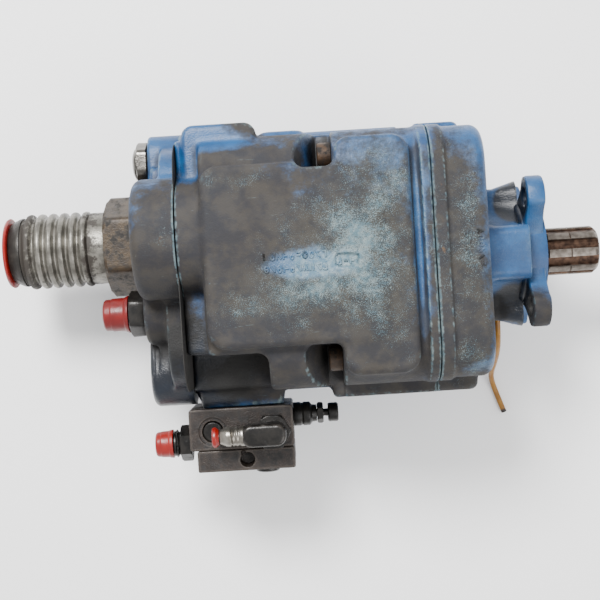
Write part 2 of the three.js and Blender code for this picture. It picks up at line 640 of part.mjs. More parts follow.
function controlBlock() {
  const { left, right, low, high, back, front, notch, notchY } = VALVE;
  const outline = polygon([
    [left + notch, low],
    [right, low],
    [right, high],
    [left + 3, high],
    [left, high - 3],
    [left, notchY],
    [left + notch, notchY],
  ]);
  let made = prism("z", outline, back, front);
  made = made.subtract(rod("x", SPOOL.radius + TOUCH, SPOOL.from - 8, right + 1, SPOOL.y, 0, ROUND));
  for (const { x, y, radius, depth } of [TAPPED_PIT, PIN_PIT]) {
    made = made.subtract(rod("z", radius, front - depth, front + 1, x, y, SMALL));
  }
  const plugHole = SOCKET_PLUG.radius + TOUCH;
  made = made.subtract(rod("z", plugHole, front - 8, front + 1, SOCKET_PLUG.x, SOCKET_PLUG.y, ROUND));
  const { radius, depth } = SPIGOT_HOLE;
  made = made.subtract(rod("z", radius, front - depth, front + 1, VALVE_ELBOW.x, VALVE_ELBOW.y, ROUND));
  made = made.subtract(rod("x", radius, left - 1, left + depth, LEFT_FITTING.y, LEFT_FITTING.z, ROUND));
  return made.subtract(rod("y", radius, low - 1, low + depth, 0, BOTTOM_PLUG.x, ROUND));
}

function socketPlug() {
  const top = VALVE.front - 0.5;
  const plug = rod("z", SOCKET_PLUG.radius, VALVE.front - 7.5, top, SOCKET_PLUG.x, SOCKET_PLUG.y, ROUND);
  return plug.subtract(rod("z", 3.4, top - 4, top + 1, SOCKET_PLUG.x, SOCKET_PLUG.y, 6));
}

function bottomPlug() {
  const { x, head, headLength, thread } = BOTTOM_PLUG;
  const { low } = VALVE;
  const plug = rod("y", head, low - headLength, low - TOUCH, 0, x, ROUND);
  return plug.add(rod("y", thread, low - 1, low + 8, 0, x, ROUND));
}

function spool() {
  const { y, radius, from, to } = SPOOL;
  const land = (a, b) => [[a, radius], [b, radius]];
  const middle = (from + to) / 2;
  const profile = [[from, 0], ...land(from, middle - 8), ...land(middle - 8, middle - 8)];
  profile.push([middle - 8, 2.6], [middle + 4, 2.6], [middle + 4, radius], [to, radius], [to, 0]);
  return turned("x", profile.filter((p, i) => i === 0 || p.join() !== profile[i - 1].join()), y, 0, SMALL);
}

// The adjuster's fixed body screws into the block; its screw and knob turn inside it.
const ADJUSTER = { y: SPOOL.y, body: 9, bodyEnd: -177, step: 6.5, stepEnd: -172.5, bore: 3 };

function adjusterBody() {
  const { y, body, bodyEnd, step, stepEnd, bore } = ADJUSTER;
  const right = VALVE.right + TOUCH;
  return turned("x", [
    [right - 5, bore + TOUCH],
    [right - 5, SPOOL.radius - TOUCH / 2],
    [right, SPOOL.radius - TOUCH / 2],
    [right, body],
    [bodyEnd, body],
    [bodyEnd + 1, step],
    [stepEnd, step],
    [stepEnd, bore + TOUCH],
    [right - 5, bore + TOUCH],
  ], y, 0, ROUND);
}

function adjusterLockNut() {
  const { y, stepEnd, bore } = ADJUSTER;
  const nut = hexRod("x", 14, stepEnd + TOUCH, stepEnd + 5, y, 0);
  return nut.subtract(rod("x", bore + TOUCH, stepEnd - 1, stepEnd + 6, y, 0, ROUND));
}

function adjusterScrew() {
  const { y, stepEnd, bore } = ADJUSTER;
  const knobFrom = stepEnd + 8.5;
  return turned("x", [
    [VALVE.right - 4, 0],
    [VALVE.right - 4, bore],
    [knobFrom, bore],
    [knobFrom, 6.6],
    [knobFrom + 1, 7.2],
    [knobFrom + 7, 7.2],
    [knobFrom + 8, 6.2],
    [knobFrom + 8, 0],
  ], y, 0, ROUND);
}

function elbowFitting() {
  const { x, y, z, radius } = VALVE_ELBOW;
  const { front } = VALVE;
  const nut = hexRod("z", 24, front + TOUCH, front + 8, x, y);
  const spigot = rod("z", 7, front - 8, front + 4, x, y, ROUND);
  const riser = rod("z", radius, front + 5, z, x, y, ROUND);
  const outline = roundedRect(z - radius, z + radius, x - 22, x + radius + 2, 5);
  const corner = prism("y", outline, y - radius, y + radius, 2, 3);
  const stub = rod("x", radius * 0.88, x - 33, x - 20, y, z, ROUND);
  const tip = rod("x", 4.5, x - 41, x - 32, y, z, SMALL);
  return union(nut, spigot, riser, corner, stub, tip);
}

// A plastic cap: a cup that opens towards +X, with a slight taper, over a spigot of `inner` radius.
function cap(from, to, outer, inner, y, z, wall = 2) {
  return turned("x", [
    [from, 0],
    [from, outer * 0.9],
    [from + 1.5, outer * 0.94],
    [to, outer],
    [to, inner],
    [from + wall, inner],
    [from + wall, 0],
  ], y, z, ROUND);
}

function elbowCap() {
  const { x, y, z } = VALVE_ELBOW;
  return cap(x - 43.5, x - 34, 7, 4.5 + TOUCH, y, z);
}

function controlAdapter() {
  const { left } = VALVE;
  const { y, z } = LEFT_FITTING;
  return union(
    rod("x", 7, left - 1, left + 8, y, z, ROUND),
    hexRod("x", 24, left - 9, left - TOUCH, y, z),
    rod("x", 9.5, left - 14, left - 8, y, z, ROUND),
    rod("x", 7.5, left - 26, left - 13, y, z, ROUND),
  );
}

// ---------- Rear ports ----------
function hoseTail() {
  const { hex, hexFrom, ribRadius, end, bore, ribs } = HOSE;
  const { portY, portZ, end: rear } = REAR;
  const pitch = 8.5;
  const groove = 3.6;
  const ribStart = hexFrom - 14;
  const outside = [];
  for (let i = 0; i < ribs; i++) {
    const x = ribStart - i * pitch;
    const low = i ? ribRadius - groove : ribRadius - 1.5;
    const valley = x - pitch + 1.6;
    outside.push([x, low], [x - 1.8, ribRadius], [valley + 1.6, ribRadius], [valley, ribRadius - groove]);
  }
  const spigot = [[rear + 12, bore - 4], [rear + 12, bore - TOUCH], [rear - TOUCH, bore - TOUCH]];
  const collar = [...spigot, [rear - TOUCH, 30]];
  const neckEnd = [[hexFrom + 2, 30], [hexFrom + 2, ribRadius - 1.5]];
  const nose = [[end, bore + 3], [end, bore - 4], [rear + 12, bore - 4]];
  const profile = [...collar, ...neckEnd, ...outside, ...nose].reverse();
  const tail = turned("x", profile, portY, portZ, LARGE);
  const nut = hexRod("x", hex, hexFrom, rear - TOUCH, portY, portZ);
  return tail.add(nut.subtract(rod("x", bore - 4, hexFrom - 1, rear + 1, portY, portZ, LARGE)));
}

function hoseTailPlug() {
  const { end, bore } = HOSE;
  const { portY, portZ } = REAR;
  const inner = bore - 4 - TOUCH;
  return turned("x", [
    [end + 22, inner - 2],
    [end + 22, inner],
    [end - TOUCH, inner],
    [end - TOUCH, bore + 6],
    [end - 3, bore + 6],
    [end - 3, inner - 2],
    [end + 18, inner - 4],
    [end + 18, 0],
    [end + 20, 0],
    [end + 20, inner - 2],
    [end + 22, inner - 2],
  ].reverse(), portY, portZ, LARGE);
}

function pressureAdapter() {
  const { y, z, hex, bore } = PRESSURE;
  const { end } = REAR;
  const nut = union(
    hexRod("x", hex, end - 12, end - TOUCH, y, z),
    rod("x", bore - 0.4, end - 1, end + 12, y, z, SMALL),
    rod("x", 10, end - 28, end - 11, y, z, ROUND),
  );
  return nut.subtract(rod("x", 5, end - 29, end + 13, y, z, SMALL));
}

function housingBolt(y, z) {
  const head = rod("x", BOLT.head, BOLT.headAt - BOLT.headLength, BOLT.headAt - TOUCH, y, z, SMALL);
  const socket = rod("x", 5, BOLT.headAt - BOLT.headLength - 1, BOLT.headAt - 5, y, z, 6);
  return head.add(rod("x", BOLT.shank, BOLT.headAt - 1, BOLT.tip - 1, y, z, SMALL)).subtract(socket);
}

// ---------- Assembly ----------
add("main_housing", mainHousing(), "paint");
add("front_cover", frontCover(), "paint");
add("rear_housing", rearHousing(), "paint");
add("front_gasket", frontGasket(), "gasket");
add("rear_gasket", rearGasket(), "gasket");
boltPlaces.forEach(([y, z], i) => add(`cover_bolt_${i + 1}`, housingBolt(y, z), "blackSteel"));

add("drive_shaft", driveShaft(), "brownSteel");
add("cylinder_block", cylinderBlock(), "steel");
add("ball_guide", ballGuide(), "steel");
add("block_spring", coilSpring(BLOCK.front - 25, BLOCK.front - TOUCH, 17.8, 1.4, 3), "steel");
for (let k = 0; k < PISTON.count; k++) {
  const reach = PISTON.circle * Math.sin(pistonAngle(k));
  const z = PISTON.circle * Math.cos(pistonAngle(k));
  const mesh = add(`piston_${k + 1}`, piston(), "steel");
  mesh.position.set(TILT.x + reach * Math.sin(TILT.angle), reach * Math.cos(TILT.angle), z);
  add(`slipper_${k + 1}`, slipper(), "bronze", tilting).position.set(0, reach, z);
}
add("slipper_retainer", slipperRetainer(), "steel", tilting);
add("swashplate", swashplate(), "steel", tilting);
add("cradle_bearing_near", cradleBearing(1), "bronze");
add("cradle_bearing_far", cradleBearing(-1), "bronze");
add("valve_plate", valvePlate(), "bronze");
const aroundShaft = (journal, place, from = place.from) =>
  ring("x", journal + TOUCH, place.radius, from, place.to);
add("front_bearing", aroundShaft(JOURNAL.bearing, FRONT_BEARING), "steel");
add("rear_bearing", aroundShaft(JOURNAL.rear, REAR_BEARING, REAR_BEARING.from + 1), "steel");
add("shaft_seal", aroundShaft(JOURNAL.seal, SEAL), "rubber");

add("control_piston", plainPiston(CONTROL.y, CONTROL.radius, CONTROL.length, CONTROL.roller, false), "steel");
add("bias_piston", plainPiston(BIAS.y, BIAS.radius, BIAS.length, BIAS.roller, true), "steel");
add("bias_spring", biasSpring(), "steel");
add("bias_plug", biasPlug(), "steel");

add("control_block", controlBlock(), "oilyIron");
add("compensator_spool", spool(), "steel");
const springEnd = VALVE.right - 5 - TOUCH;
add("compensator_spring", coilSpring(SPOOL.to + TOUCH, springEnd, 3.4, 0.7, 5, SPOOL.y, 0), "steel");
add("adjuster_body", adjusterBody(), "blackSteel");
add("adjuster_lock_nut", adjusterLockNut(), "blackSteel");
add("adjuster_screw", adjusterScrew(), "blackSteel");
add("socket_plug", socketPlug(), "blackSteel");
add("bottom_plug", bottomPlug(), "blackSteel");
add("elbow_fitting", elbowFitting(), "blackSteel");
add("elbow_cap", elbowCap(), "redPlastic");
add("control_adapter", controlAdapter(), "blackSteel");
const { y: fittingY, z: fittingZ } = LEFT_FITTING;
const controlCap = cap(VALVE.left - 28.5, VALVE.left - 14.5, 11, 7.5 + TOUCH, fittingY, fittingZ);
add("control_adapter_cap", controlCap, "redPlastic");

add("hose_tail", hoseTail(), "castAlloy");
add("hose_tail_plug", hoseTailPlug(), "redPlastic");
add("pressure_adapter", pressureAdapter(), "blackSteel");
const { y: capY, z: capZ, capRadius } = PRESSURE;
const pressureCap = cap(REAR.end - 32, REAR.end - 12.5, capRadius, 10 + TOUCH, capY, capZ);
add("pressure_cap", pressureCap, "redPlastic");

const boxed = new THREE.Box3().setFromObject(pump);
const route = new THREE.CatmullRomCurve3(WIRE_ROUTE.map((point) => new THREE.Vector3(...point)));
add("tie_wire", bar(route, WIRE.radius, WIRE.steps, WIRE.sides), "yellow");

// Stand the pump on its underside, centred on the origin.
const centre = boxed.getCenter(new THREE.Vector3());
pump.position.set(-centre.x, -centre.y, -boxed.min.z);

const assembly = new THREE.Group();
assembly.add(pump);
export default assembly;
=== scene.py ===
"""Looks for a variable-displacement axial piston pump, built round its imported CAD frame.

Shapes are worked out in the pump's own frame, in millimetres: X runs along the drive shaft out of the
mounting flange, whose face is X = 0; Y and Z start at the shaft's axis, and Z points at the camera.
"""

import json
import math
from functools import reduce

import bpy
import numpy as np
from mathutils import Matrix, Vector


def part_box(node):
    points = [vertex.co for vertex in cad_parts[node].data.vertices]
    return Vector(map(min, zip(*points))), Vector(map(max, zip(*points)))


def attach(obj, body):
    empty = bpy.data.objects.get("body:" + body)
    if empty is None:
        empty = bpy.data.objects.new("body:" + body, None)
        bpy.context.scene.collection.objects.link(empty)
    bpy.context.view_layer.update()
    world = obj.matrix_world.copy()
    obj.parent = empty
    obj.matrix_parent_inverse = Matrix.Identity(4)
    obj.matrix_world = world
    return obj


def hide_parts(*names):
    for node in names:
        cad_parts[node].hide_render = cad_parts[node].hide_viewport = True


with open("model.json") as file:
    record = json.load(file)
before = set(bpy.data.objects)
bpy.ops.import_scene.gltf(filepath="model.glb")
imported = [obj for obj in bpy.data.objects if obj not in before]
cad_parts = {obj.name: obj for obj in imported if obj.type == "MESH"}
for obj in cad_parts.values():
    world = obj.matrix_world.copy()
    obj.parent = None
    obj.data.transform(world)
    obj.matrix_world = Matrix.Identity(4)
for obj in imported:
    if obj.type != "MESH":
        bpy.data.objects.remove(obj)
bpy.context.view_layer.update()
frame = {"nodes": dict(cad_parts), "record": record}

# ---------- Driving dimensions, millimetres in the pump frame ----------
SHAFT_TIP = 47.0
PARTING_FRONT = -85.0
PARTING_REAR = -262.0
SEAM = 0.8
shaft_low, shaft_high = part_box("drive_shaft")
ORIGIN = np.array([
    shaft_high.x * 1000 - SHAFT_TIP,
    (shaft_low.y + shaft_high.y) * 500,
    (shaft_low.z + shaft_high.z) * 500,
])


def placed(points):
    """Pump-frame millimetres to the row frame's metres."""
    return (np.asarray(points, float) + ORIGIN) / 1000


# ---------- Camera ----------
CAMERA = dict(x=-180.0, y=-25.2, height=820.0, turn=3.5, lens=64.3)


def set_camera():
    """A camera that looks straight down, turned a little about its own line of sight."""
    data = bpy.data.cameras.new("camera")
    data.lens = CAMERA["lens"]
    data.clip_end = 20
    camera = bpy.data.objects.new("camera", data)
    camera.location = placed([CAMERA["x"], CAMERA["y"], CAMERA["height"]])
    camera.rotation_euler = (0, 0, -math.radians(CAMERA["turn"]))
    bpy.context.scene.collection.objects.link(camera)
    bpy.context.scene.camera = camera


set_camera()


# ---------- Meshes ----------
def knit(rings, loop=False):
    """Faces of a grid of rings, each ring closed: rings follow each other, and the first and the last
    are joined (loop), or else each is closed by a fan to its own middle."""
    rows, columns = rings.shape[:2]
    points = rings.reshape(-1, 3)
    row = np.arange(rows if loop else rows - 1)[:, None]
    here = np.arange(columns)[None, :]
    after = (here + 1) % columns
    following = (row + 1) % rows
    quads = np.stack([
        row * columns + here, following * columns + here,
        following * columns + after, row * columns + after,
    ], -1).reshape(-1, 4)
    if loop:
        return points, quads, np.zeros((0, 3), int)
    poles = np.stack([rings[0].mean(0), rings[-1].mean(0)])
    start, end = len(points), len(points) + 1
    last = (rows - 1) * columns
    one, two = here[0], after[0]
    fans = np.concatenate([
        np.stack([np.full(columns, start), one, two], -1),
        np.stack([last + one, np.full(columns, end), last + two], -1),
    ])
    return np.concatenate([points, poles]), quads, fans


def merged(parts):
    """Several knitted surfaces as one."""
    offsets = np.cumsum([0] + [len(p) for p, _, _ in parts])
    points = np.concatenate([p for p, _, _ in parts])
    quads = np.concatenate([q + o for (_, q, _), o in zip(parts, offsets)])
    fans = np.concatenate([t + o for (_, _, t), o in zip(parts, offsets)])
    return points, quads, fans


def piece(name, knitted, material, body, stands_for=(), sharp=38, marks=None):
    """A mesh object from a knitted surface in the pump frame; marks are values kept at its points."""
    points, quads, fans = knitted
    mesh = bpy.data.meshes.new(name)
    mesh.vertices.add(len(points))
    mesh.vertices.foreach_set("co", placed(points).astype(np.float32).ravel())
    corners = np.concatenate([quads.ravel(), fans.ravel()]).astype(np.int32)
    mesh.loops.add(len(corners))
    mesh.loops.foreach_set("vertex_index", corners)
    starts = np.concatenate([np.arange(len(quads)) * 4, len(quads) * 4 + np.arange(len(fans)) * 3])
    mesh.polygons.add(len(starts))
    mesh.polygons.foreach_set("loop_start", starts.astype(np.int32))
    mesh.update(calc_edges=True)
    mesh.validate()
    mesh.polygons.foreach_set("use_smooth", np.ones(len(starts), bool))
    mesh.set_sharp_from_angle(angle=math.radians(sharp))
    for mark, values in (marks or {}).items():
        kept = mesh.attributes.new(mark, "FLOAT", "POINT")
        kept.data.foreach_set("value", np.asarray(values, np.float32))
    made = bpy.data.objects.new(name, mesh)
    bpy.context.scene.collection.objects.link(made)
    mesh.materials.append(material)
    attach(made, body)
    if stands_for:
        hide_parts(*stands_for)
    return made


AXES = {
    "x": np.array([[1, 0, 0], [0, 1, 0], [0, 0, 1]], float),
    "y": np.array([[0, 1, 0], [0, 0, 1], [1, 0, 0]], float),
    "z": np.array([[0, 0, 1], [1, 0, 0], [0, 1, 0]], float),
}


def around(axis, along, radius, angle, u=0.0, v=0.0):
    """Points at a distance along an axis, and at a radius and an angle about it; the axis stands at
    (u, v) in the next two axes in cyclic order, and the angle starts at the second of them."""
    line, first, second = AXES[axis]
    along, radius, angle = np.broadcast_arrays(along, radius, angle)
    side = (u + radius * np.sin(angle))[..., None] * first
    up = (v + radius * np.cos(angle))[..., None] * second
    return along[..., None] * line + side + up


def softened(rows, bevel):
    """A profile whose inner corners are each replaced by three points of a short curve."""
    rows = np.asarray(rows, float)
    here, before, after = rows[1:-1], rows[:-2], rows[2:]
    back, ahead = before - here, after - here
    reach_back = np.linalg.norm(back[:, :2], axis=1, keepdims=True)
    reach_ahead = np.linalg.norm(ahead[:, :2], axis=1, keepdims=True)
    one = here + back * np.minimum(bevel / np.maximum(reach_back, 1e-6), 0.45)
    three = here + ahead * np.minimum(bevel / np.maximum(reach_ahead, 1e-6), 0.45)
    two = (one + 2 * here + three) / 4
    curved = np.stack([one, two, three], 1).reshape(-1, rows.shape[1])
    return np.concatenate([rows[:1], curved, rows[-1:]])


def flats_radius(angle, across, sides=6):
    """Distance from the middle of a regular bar to its side at an angle."""
    sector = 2 * np.pi / sides
    return across / 2 / np.cos((angle + sector / 2) % sector - sector / 2)


def turned(axis, rows, u=0.0, v=0.0, bevel=0.4, columns=72, loop=False):
    """A turned piece: each row is (along, radius) or (along, radius, across), where a third value
    cuts the circle down to a hexagon that is `across` its flats."""
    rows = [tuple(row) + (0,) * (3 - len(row)) for row in rows]
    rows = softened(rows, bevel) if bevel else np.asarray(rows, float)
    angle = np.arange(columns) * 2 * np.pi / columns
    radius = np.repeat(rows[:, 1:2], columns, 1)
    flat = rows[:, 2:3] > 0
    hexagon = flats_radius(angle[None, :], np.maximum(rows[:, 2:3], 1))
    radius = np.where(flat, np.minimum(radius, hexagon), radius)
    return knit(around(axis, rows[:, 0:1], radius, angle[None, :], u, v), loop)


def swept_tube(route, radius, sides=12, aside=(1.0, 0.0, 0.0)):
    """A round tube along a route: each ring lies across the route, set by the direction `aside`,
    which the route must never follow."""
    route = np.asarray(route, float)
    along = np.gradient(route, axis=0)
    along /= np.linalg.norm(along, axis=1, keepdims=True)
    across = np.cross(along, aside)
    across /= np.linalg.norm(across, axis=1, keepdims=True)
    other = np.cross(along, across)
    angle = (np.arange(sides) * 2 * np.pi / sides)[None, :, None]
    rings = route[:, None] + radius * (np.cos(angle) * across[:, None] + np.sin(angle) * other[:, None])
    return knit(rings)


def spline_through(points, steps):
    """A smooth route through points: a cubic per span with Catmull-Rom tangents."""
    p = np.asarray(points, float)
    tangents = np.gradient(p, axis=0)
    t = np.linspace(0, 1, steps, endpoint=False)[None, :, None]
    a, b = p[:-1, None], p[1:, None]
    m, n = tangents[:-1, None], tangents[1:, None]
    curve = (2 * t**3 - 3 * t**2 + 1) * a + (t**3 - 2 * t**2 + t) * m
    curve = curve + (-2 * t**3 + 3 * t**2) * b + (t**3 - t**2) * n
    return np.concatenate([curve.reshape(-1, 3), p[-1:]])


# ---------- Cast shapes as distances ----------
# Each function gives, for points in the pump frame, the distance to a shape: negative inside it.
def rounded(one, other, corner):
    """Distance to a rounded corner of two sides, each given as a distance with the radius added."""
    outside = np.hypot(np.maximum(one, 0), np.maximum(other, 0))
    return outside + np.minimum(np.maximum(one, other), 0) - corner


def rounded_rect(u, v, low_u, high_u, low_v, high_v, corner):
    """Distance to a rectangle with round corners, from how far the point lies past each half width."""
    across = np.abs(u - (low_u + high_u) / 2) - (high_u - low_u) / 2 + corner
    upward = np.abs(v - (low_v + high_v) / 2) - (high_v - low_v) / 2 + corner
    return rounded(across, upward, corner)


def disc(u, v, at_u, at_v, radius):
    """Distance to a circle: how far its centre is, less its radius."""
    return np.hypot(u - at_u, v - at_v) - radius


def carried(flat, along, low, high, edge):
    """A flat shape carried from low to high, with its end edges rounded."""
    side = flat + edge
    end = np.abs(along - (low + high) / 2) - (high - low) / 2 + edge
    return rounded(side, end, edge)


def grown(fillet, *shapes):
    """Shapes joined with a cast fillet: a smooth minimum."""
    def two(a, b):
        share = np.clip(0.5 + 0.5 * (b - a) / fillet, 0, 1)
        return b * (1 - share) + a * share - fillet * share * (1 - share)
    return reduce(two, shapes)


def cut(fillet, shape, *tools):
    """Tools taken out of a shape, with a rounded rim: a smooth maximum."""
    return reduce(lambda left, tool: -grown(fillet, -left, tool), tools, shape)


BODY = dict(low=-88, high=93, under=-97, near=86, corner=32)
PLATE = dict(near=97, floor=35, left=-244, right=-100, step=-153, lap=-120, corner=13)
PLATE_NARROW, PLATE_WIDE = (-56, 69), (-79, 84)  # lower and upper sides of its two parts
LUG = dict(left=-257, right=-204, start=60, end=102, back=-30, front=70)
REAR = dict(end=-294, boss=43, barrel=63, crest=94, shelf=66, port_y=24.2, port_z=-10)
CONTROL = dict(y=-76, z=4, boss=23.5, end=-212)
BIAS = dict(y=85.5, boss=20, end=-288, ridge=17)
PRESSURE = dict(y=-28, z=22, boss=24)
FOOT, CREST = -97, 98.5  # where the pads below and above the body end
# Pads on the body and the cover: left, right, back, front, lower level, upper level, corner, edge.
FOOT_PAD = (-160, -60, -50, 50, FOOT, -76, 8, 3)
VALVE_SEAT = (-258, -196, -26, 21, -101.7, -76, 4, 2)
CREST_PAD = (-91, -60, -40, 40, 80, CREST, 6, 3)
RAIL = (-204, -169, -30, 46, 76, 98, 10, 4)
COVER_FOOT = (-115, -55, -50, 50, FOOT, -76, 8, 5)
COVER_CREST = (-115, -57, -40, 40, 80, CREST, 8, 4)
STAMP_RECESS = dict(left=-155, right=-139, half_height=4, depth=1.3)
HEAD_HEIGHT = 11  # of a cover bolt's head, with the room in front of it
POCKET_SLOPE = 2.2
SHELF_SIDES = (-64, 99)  # the rear shelves lie beyond these, below and above
BOSS_ROOM = 28  # floor of the room cut on the near side of the control piston's boss
RIM_RISE, COVER_RISE = 6, 5  # how far the joint rims and the cover stand proud of the body, near side
BOLT = dict(at=-152, pocket=26, clear=11.5, rows=[(76, 60), (-68, 60), (76, -74), (-68, -74)])
COVER_SHOULDER = -47
FLANGE = dict(thickness=13, half_pitch=40, corner=15, hole=6.5, waist=36, waist_radius=40)
EAR = FLANGE["half_pitch"] + FLANGE["corner"]


def body_section(y, z, inset=0.0):
    """The body's rectangle with round corners, drawn in all round by an inset."""
    b = BODY
    return rounded_rect(y, z, b["low"], b["high"], b["under"], b["near"], b["corner"]) + inset


def raised(z, rise):
    """Heights as a section reads them to stand `rise` higher on the near side."""
    return np.where(z > 0, z - rise, z)


def barrel_section(y, z):
    """The suction barrel's section: a tall rectangle with nearly half-round ends."""
    r = REAR
    low, high = r["port_y"] - r["boss"], r["port_y"] + r["boss"]
    return rounded_rect(y, z, low, high, -r["barrel"], r["crest"], r["boss"] - 3)


def pad(x, y, z, left, right, back, front, low, high, corner, edge):
    """A rectangular pad carried between two levels of Y."""
    return carried(rounded_rect(x, z, left, right, back, front, corner), y, low, high, edge)


def bolt_pocket(x, y, z, at_y, at_z):
    """The room round a cover bolt's head, open outwards, its floor climbing away from the head."""
    side_y, side_z = math.copysign(1, at_y), math.copysign(1, at_z)
    inner = abs(at_y) - BOLT["clear"]
    outline = rounded_rect(x, side_y * y, BOLT["at"] - BOLT["pocket"], BOLT["at"], inner, 160, 6)
    ramp = POCKET_SLOPE * np.maximum(BOLT["at"] - HEAD_HEIGHT - x, 0)
    floor = abs(at_z) - BOLT["clear"] + ramp
    return np.maximum(outline, (floor - side_z * z) * 0.6)


def main_housing_shape(x, y, z):
    """Body, raised plate in a narrow and a wide part, suction barrel, two ridges, lug, boss, joint rim
    and pads, less the shelves at the rear, the bolt pockets and the plate's stamped recess."""
    front, rear = PARTING_FRONT - SEAM, PARTING_REAR
    body = carried(body_section(y, z), x, rear, front, 2)
    outside_shelf = np.maximum(SHELF_SIDES[0] - y, y - SHELF_SIDES[1])
    shelf = carried(outside_shelf, x, rear - 20, PLATE["left"] - 1, 2)
    shelf = np.maximum(shelf, REAR["shelf"] - z)
    beside_boss = carried(rounded_rect(x, y, rear - 20, -204, -130, -60, 8), z, BOSS_ROOM, 160, 2)
    body = cut(4, body, shelf, beside_boss)
    p, lug = PLATE, LUG
    narrow = rounded_rect(x, y, p["left"], p["lap"], *PLATE_NARROW, p["corner"])
    wide = rounded_rect(x, y, p["step"], p["right"], *PLATE_WIDE, p["corner"])
    plates = [carried(outline, z, p["floor"], p["near"], 5) for outline in (narrow, wide)]
    barrel = carried(barrel_section(y, z), x, rear, PLATE["left"] + 14, 2)
    rim = carried(body_section(y, raised(z, RIM_RISE)), x, front - 7, front, 1.5)
    ridge = carried(disc(y, z, BIAS["y"], 0, BIAS["ridge"]), x, rear, -98, 3)
    keel = carried(disc(y, z, CONTROL["y"], 0, BIAS["ridge"]), x, rear, -155, 3)
    box = rounded_rect(x, y, lug["left"], lug["right"], lug["start"], lug["end"], 9)
    box = carried(box, z, lug["back"], lug["front"], 4)
    boss = carried(disc(y, z, CONTROL["y"], CONTROL["z"], CONTROL["boss"]), x, rear, CONTROL["end"] + 4, 9)
    foot, seat, crest, rail = [pad(x, y, z, *sides) for sides in (FOOT_PAD, VALVE_SEAT, CREST_PAD, RAIL)]
    whole = grown(5, body, *plates, barrel)
    whole = grown(4, whole, ridge, keel, rim, rail)
    whole = grown(3, whole, box, boss, foot, seat, crest)
    s = STAMP_RECESS
    stamp = rounded_rect(x, y, s["left"], s["right"], -s["half_height"], s["half_height"], 2.5)
    stamp = carried(stamp, z, p["near"] - s["depth"], p["near"] + 9, 0.3)
    pockets = [bolt_pocket(x, y, z, at_y, at_z) for at_y, at_z in BOLT["rows"]]
    whole = cut(2.5, cut(0.8, whole, stamp), *pockets)
    return np.maximum(whole, np.maximum(rear - x, x - front))


def cover_shape(x, y, z):
    """Joint rim, shouldered body, two pads, and a neck: a column, a flat web that widens to the flange,
    and a round root."""
    rear = PARTING_FRONT
    rim = carried(body_section(y, raised(z, RIM_RISE)), x, rear, rear + 9, 1.5)
    body = carried(body_section(y, raised(z, COVER_RISE), 1.5), x, rear - 30, COVER_SHOULDER, 8)
    foot, crest = pad(x, y, z, *COVER_FOOT), pad(x, y, z, *COVER_CREST)
    widening = 5 * np.clip((x + 30) / 17, 0, 1)
    column = carried(rounded_rect(y, z, -19.5, 19.5, -EAR, EAR - 1, 7), x, -60, -8, 3)
    flat_web = carried(rounded_rect(y, z, -EAR + 5, EAR - 5, -11, 11, 6) - widening, x, -60, -8, 3)
    root = carried(disc(y, z, 0, 0, 40), x, -60, -6, 3)
    neck = grown(9, column, flat_web, root + 6)
    whole = grown(3.5, rim, body, foot, crest)
    whole = grown(13, whole, neck)
    return np.maximum(whole, np.maximum(rear - x, x + FLANGE["thickness"] - 1))


def rear_housing_shape(x, y, z):
    """Joint plate, suction barrel and the bosses of the bias spring, the control piston and the
    pressure port, tied by a web."""
    front, end = PARTING_REAR - SEAM, REAR["end"]
    joint = carried(rounded_rect(y, z, BODY["low"] + 2, BODY["high"], -88, 50, 32), x, front - 14, front, 2)
    barrel = carried(barrel_section(y, z), x, end, front + 9, 7)
    boss = BIAS["boss"]
    bias = rounded_rect(y, z, BIAS["y"] - boss, BIAS["y"] + boss, -boss, boss, 16)
    bias = carried(bias, x, BIAS["end"], front + 9, 3)
    control = carried(disc(y, z, CONTROL["y"], CONTROL["z"], CONTROL["boss"]), x, end, front + 9, 5)
    pressure = carried(disc(y, z, PRESSURE["y"], PRESSURE["z"], PRESSURE["boss"]), x, end, front + 9, 4)
    web = carried(rounded_rect(y, z, CONTROL["y"], 79.5, -18, 26, 4), x, end + 8, front + 9, 3)
    whole = grown(5, joint, barrel, control, pressure, web)
    whole = grown(3, whole, bias)
    return np.maximum(whole, np.maximum(end - x, x - front))


def spaced(low, high, count, places, near, weight):
    """Stations from low to high, closer together around given places: even steps of the running sum
    of a density with a soft bump, `near` wide and `weight` high, at each place."""
    fine = np.linspace(low, high, 4000)
    density = np.ones_like(fine)
    for place in places:
        density = density + weight * np.exp(-((fine - place) / near) ** 2)
    total = np.concatenate([[0], np.cumsum((density[1:] + density[:-1]) / 2)])
    return np.interp(np.linspace(0, total[-1], count), total, fine)


def found_radius(shape, x, angle, y0, z0, start, steps=90):
    """Walks in from `start` along each ray about the line (y0, z0) until it meets the shape."""
    radius = np.full(np.broadcast(x, angle).shape, float(start))
    for _ in range(steps):
        distance = shape(x, y0 + radius * np.sin(angle), z0 + radius * np.cos(angle))
        radius = np.maximum(radius - 0.9 * distance, 4.0)
    return radius


NEAR_SIDE = 0.3  # how much closer the rays stand on the side that faces the camera


def rays(count):
    """Angles all round, drawn together on the near side by a share of their own sine."""
    turn = np.arange(count) * 2 * np.pi / count
    return turn - NEAR_SIDE * np.sin(turn)


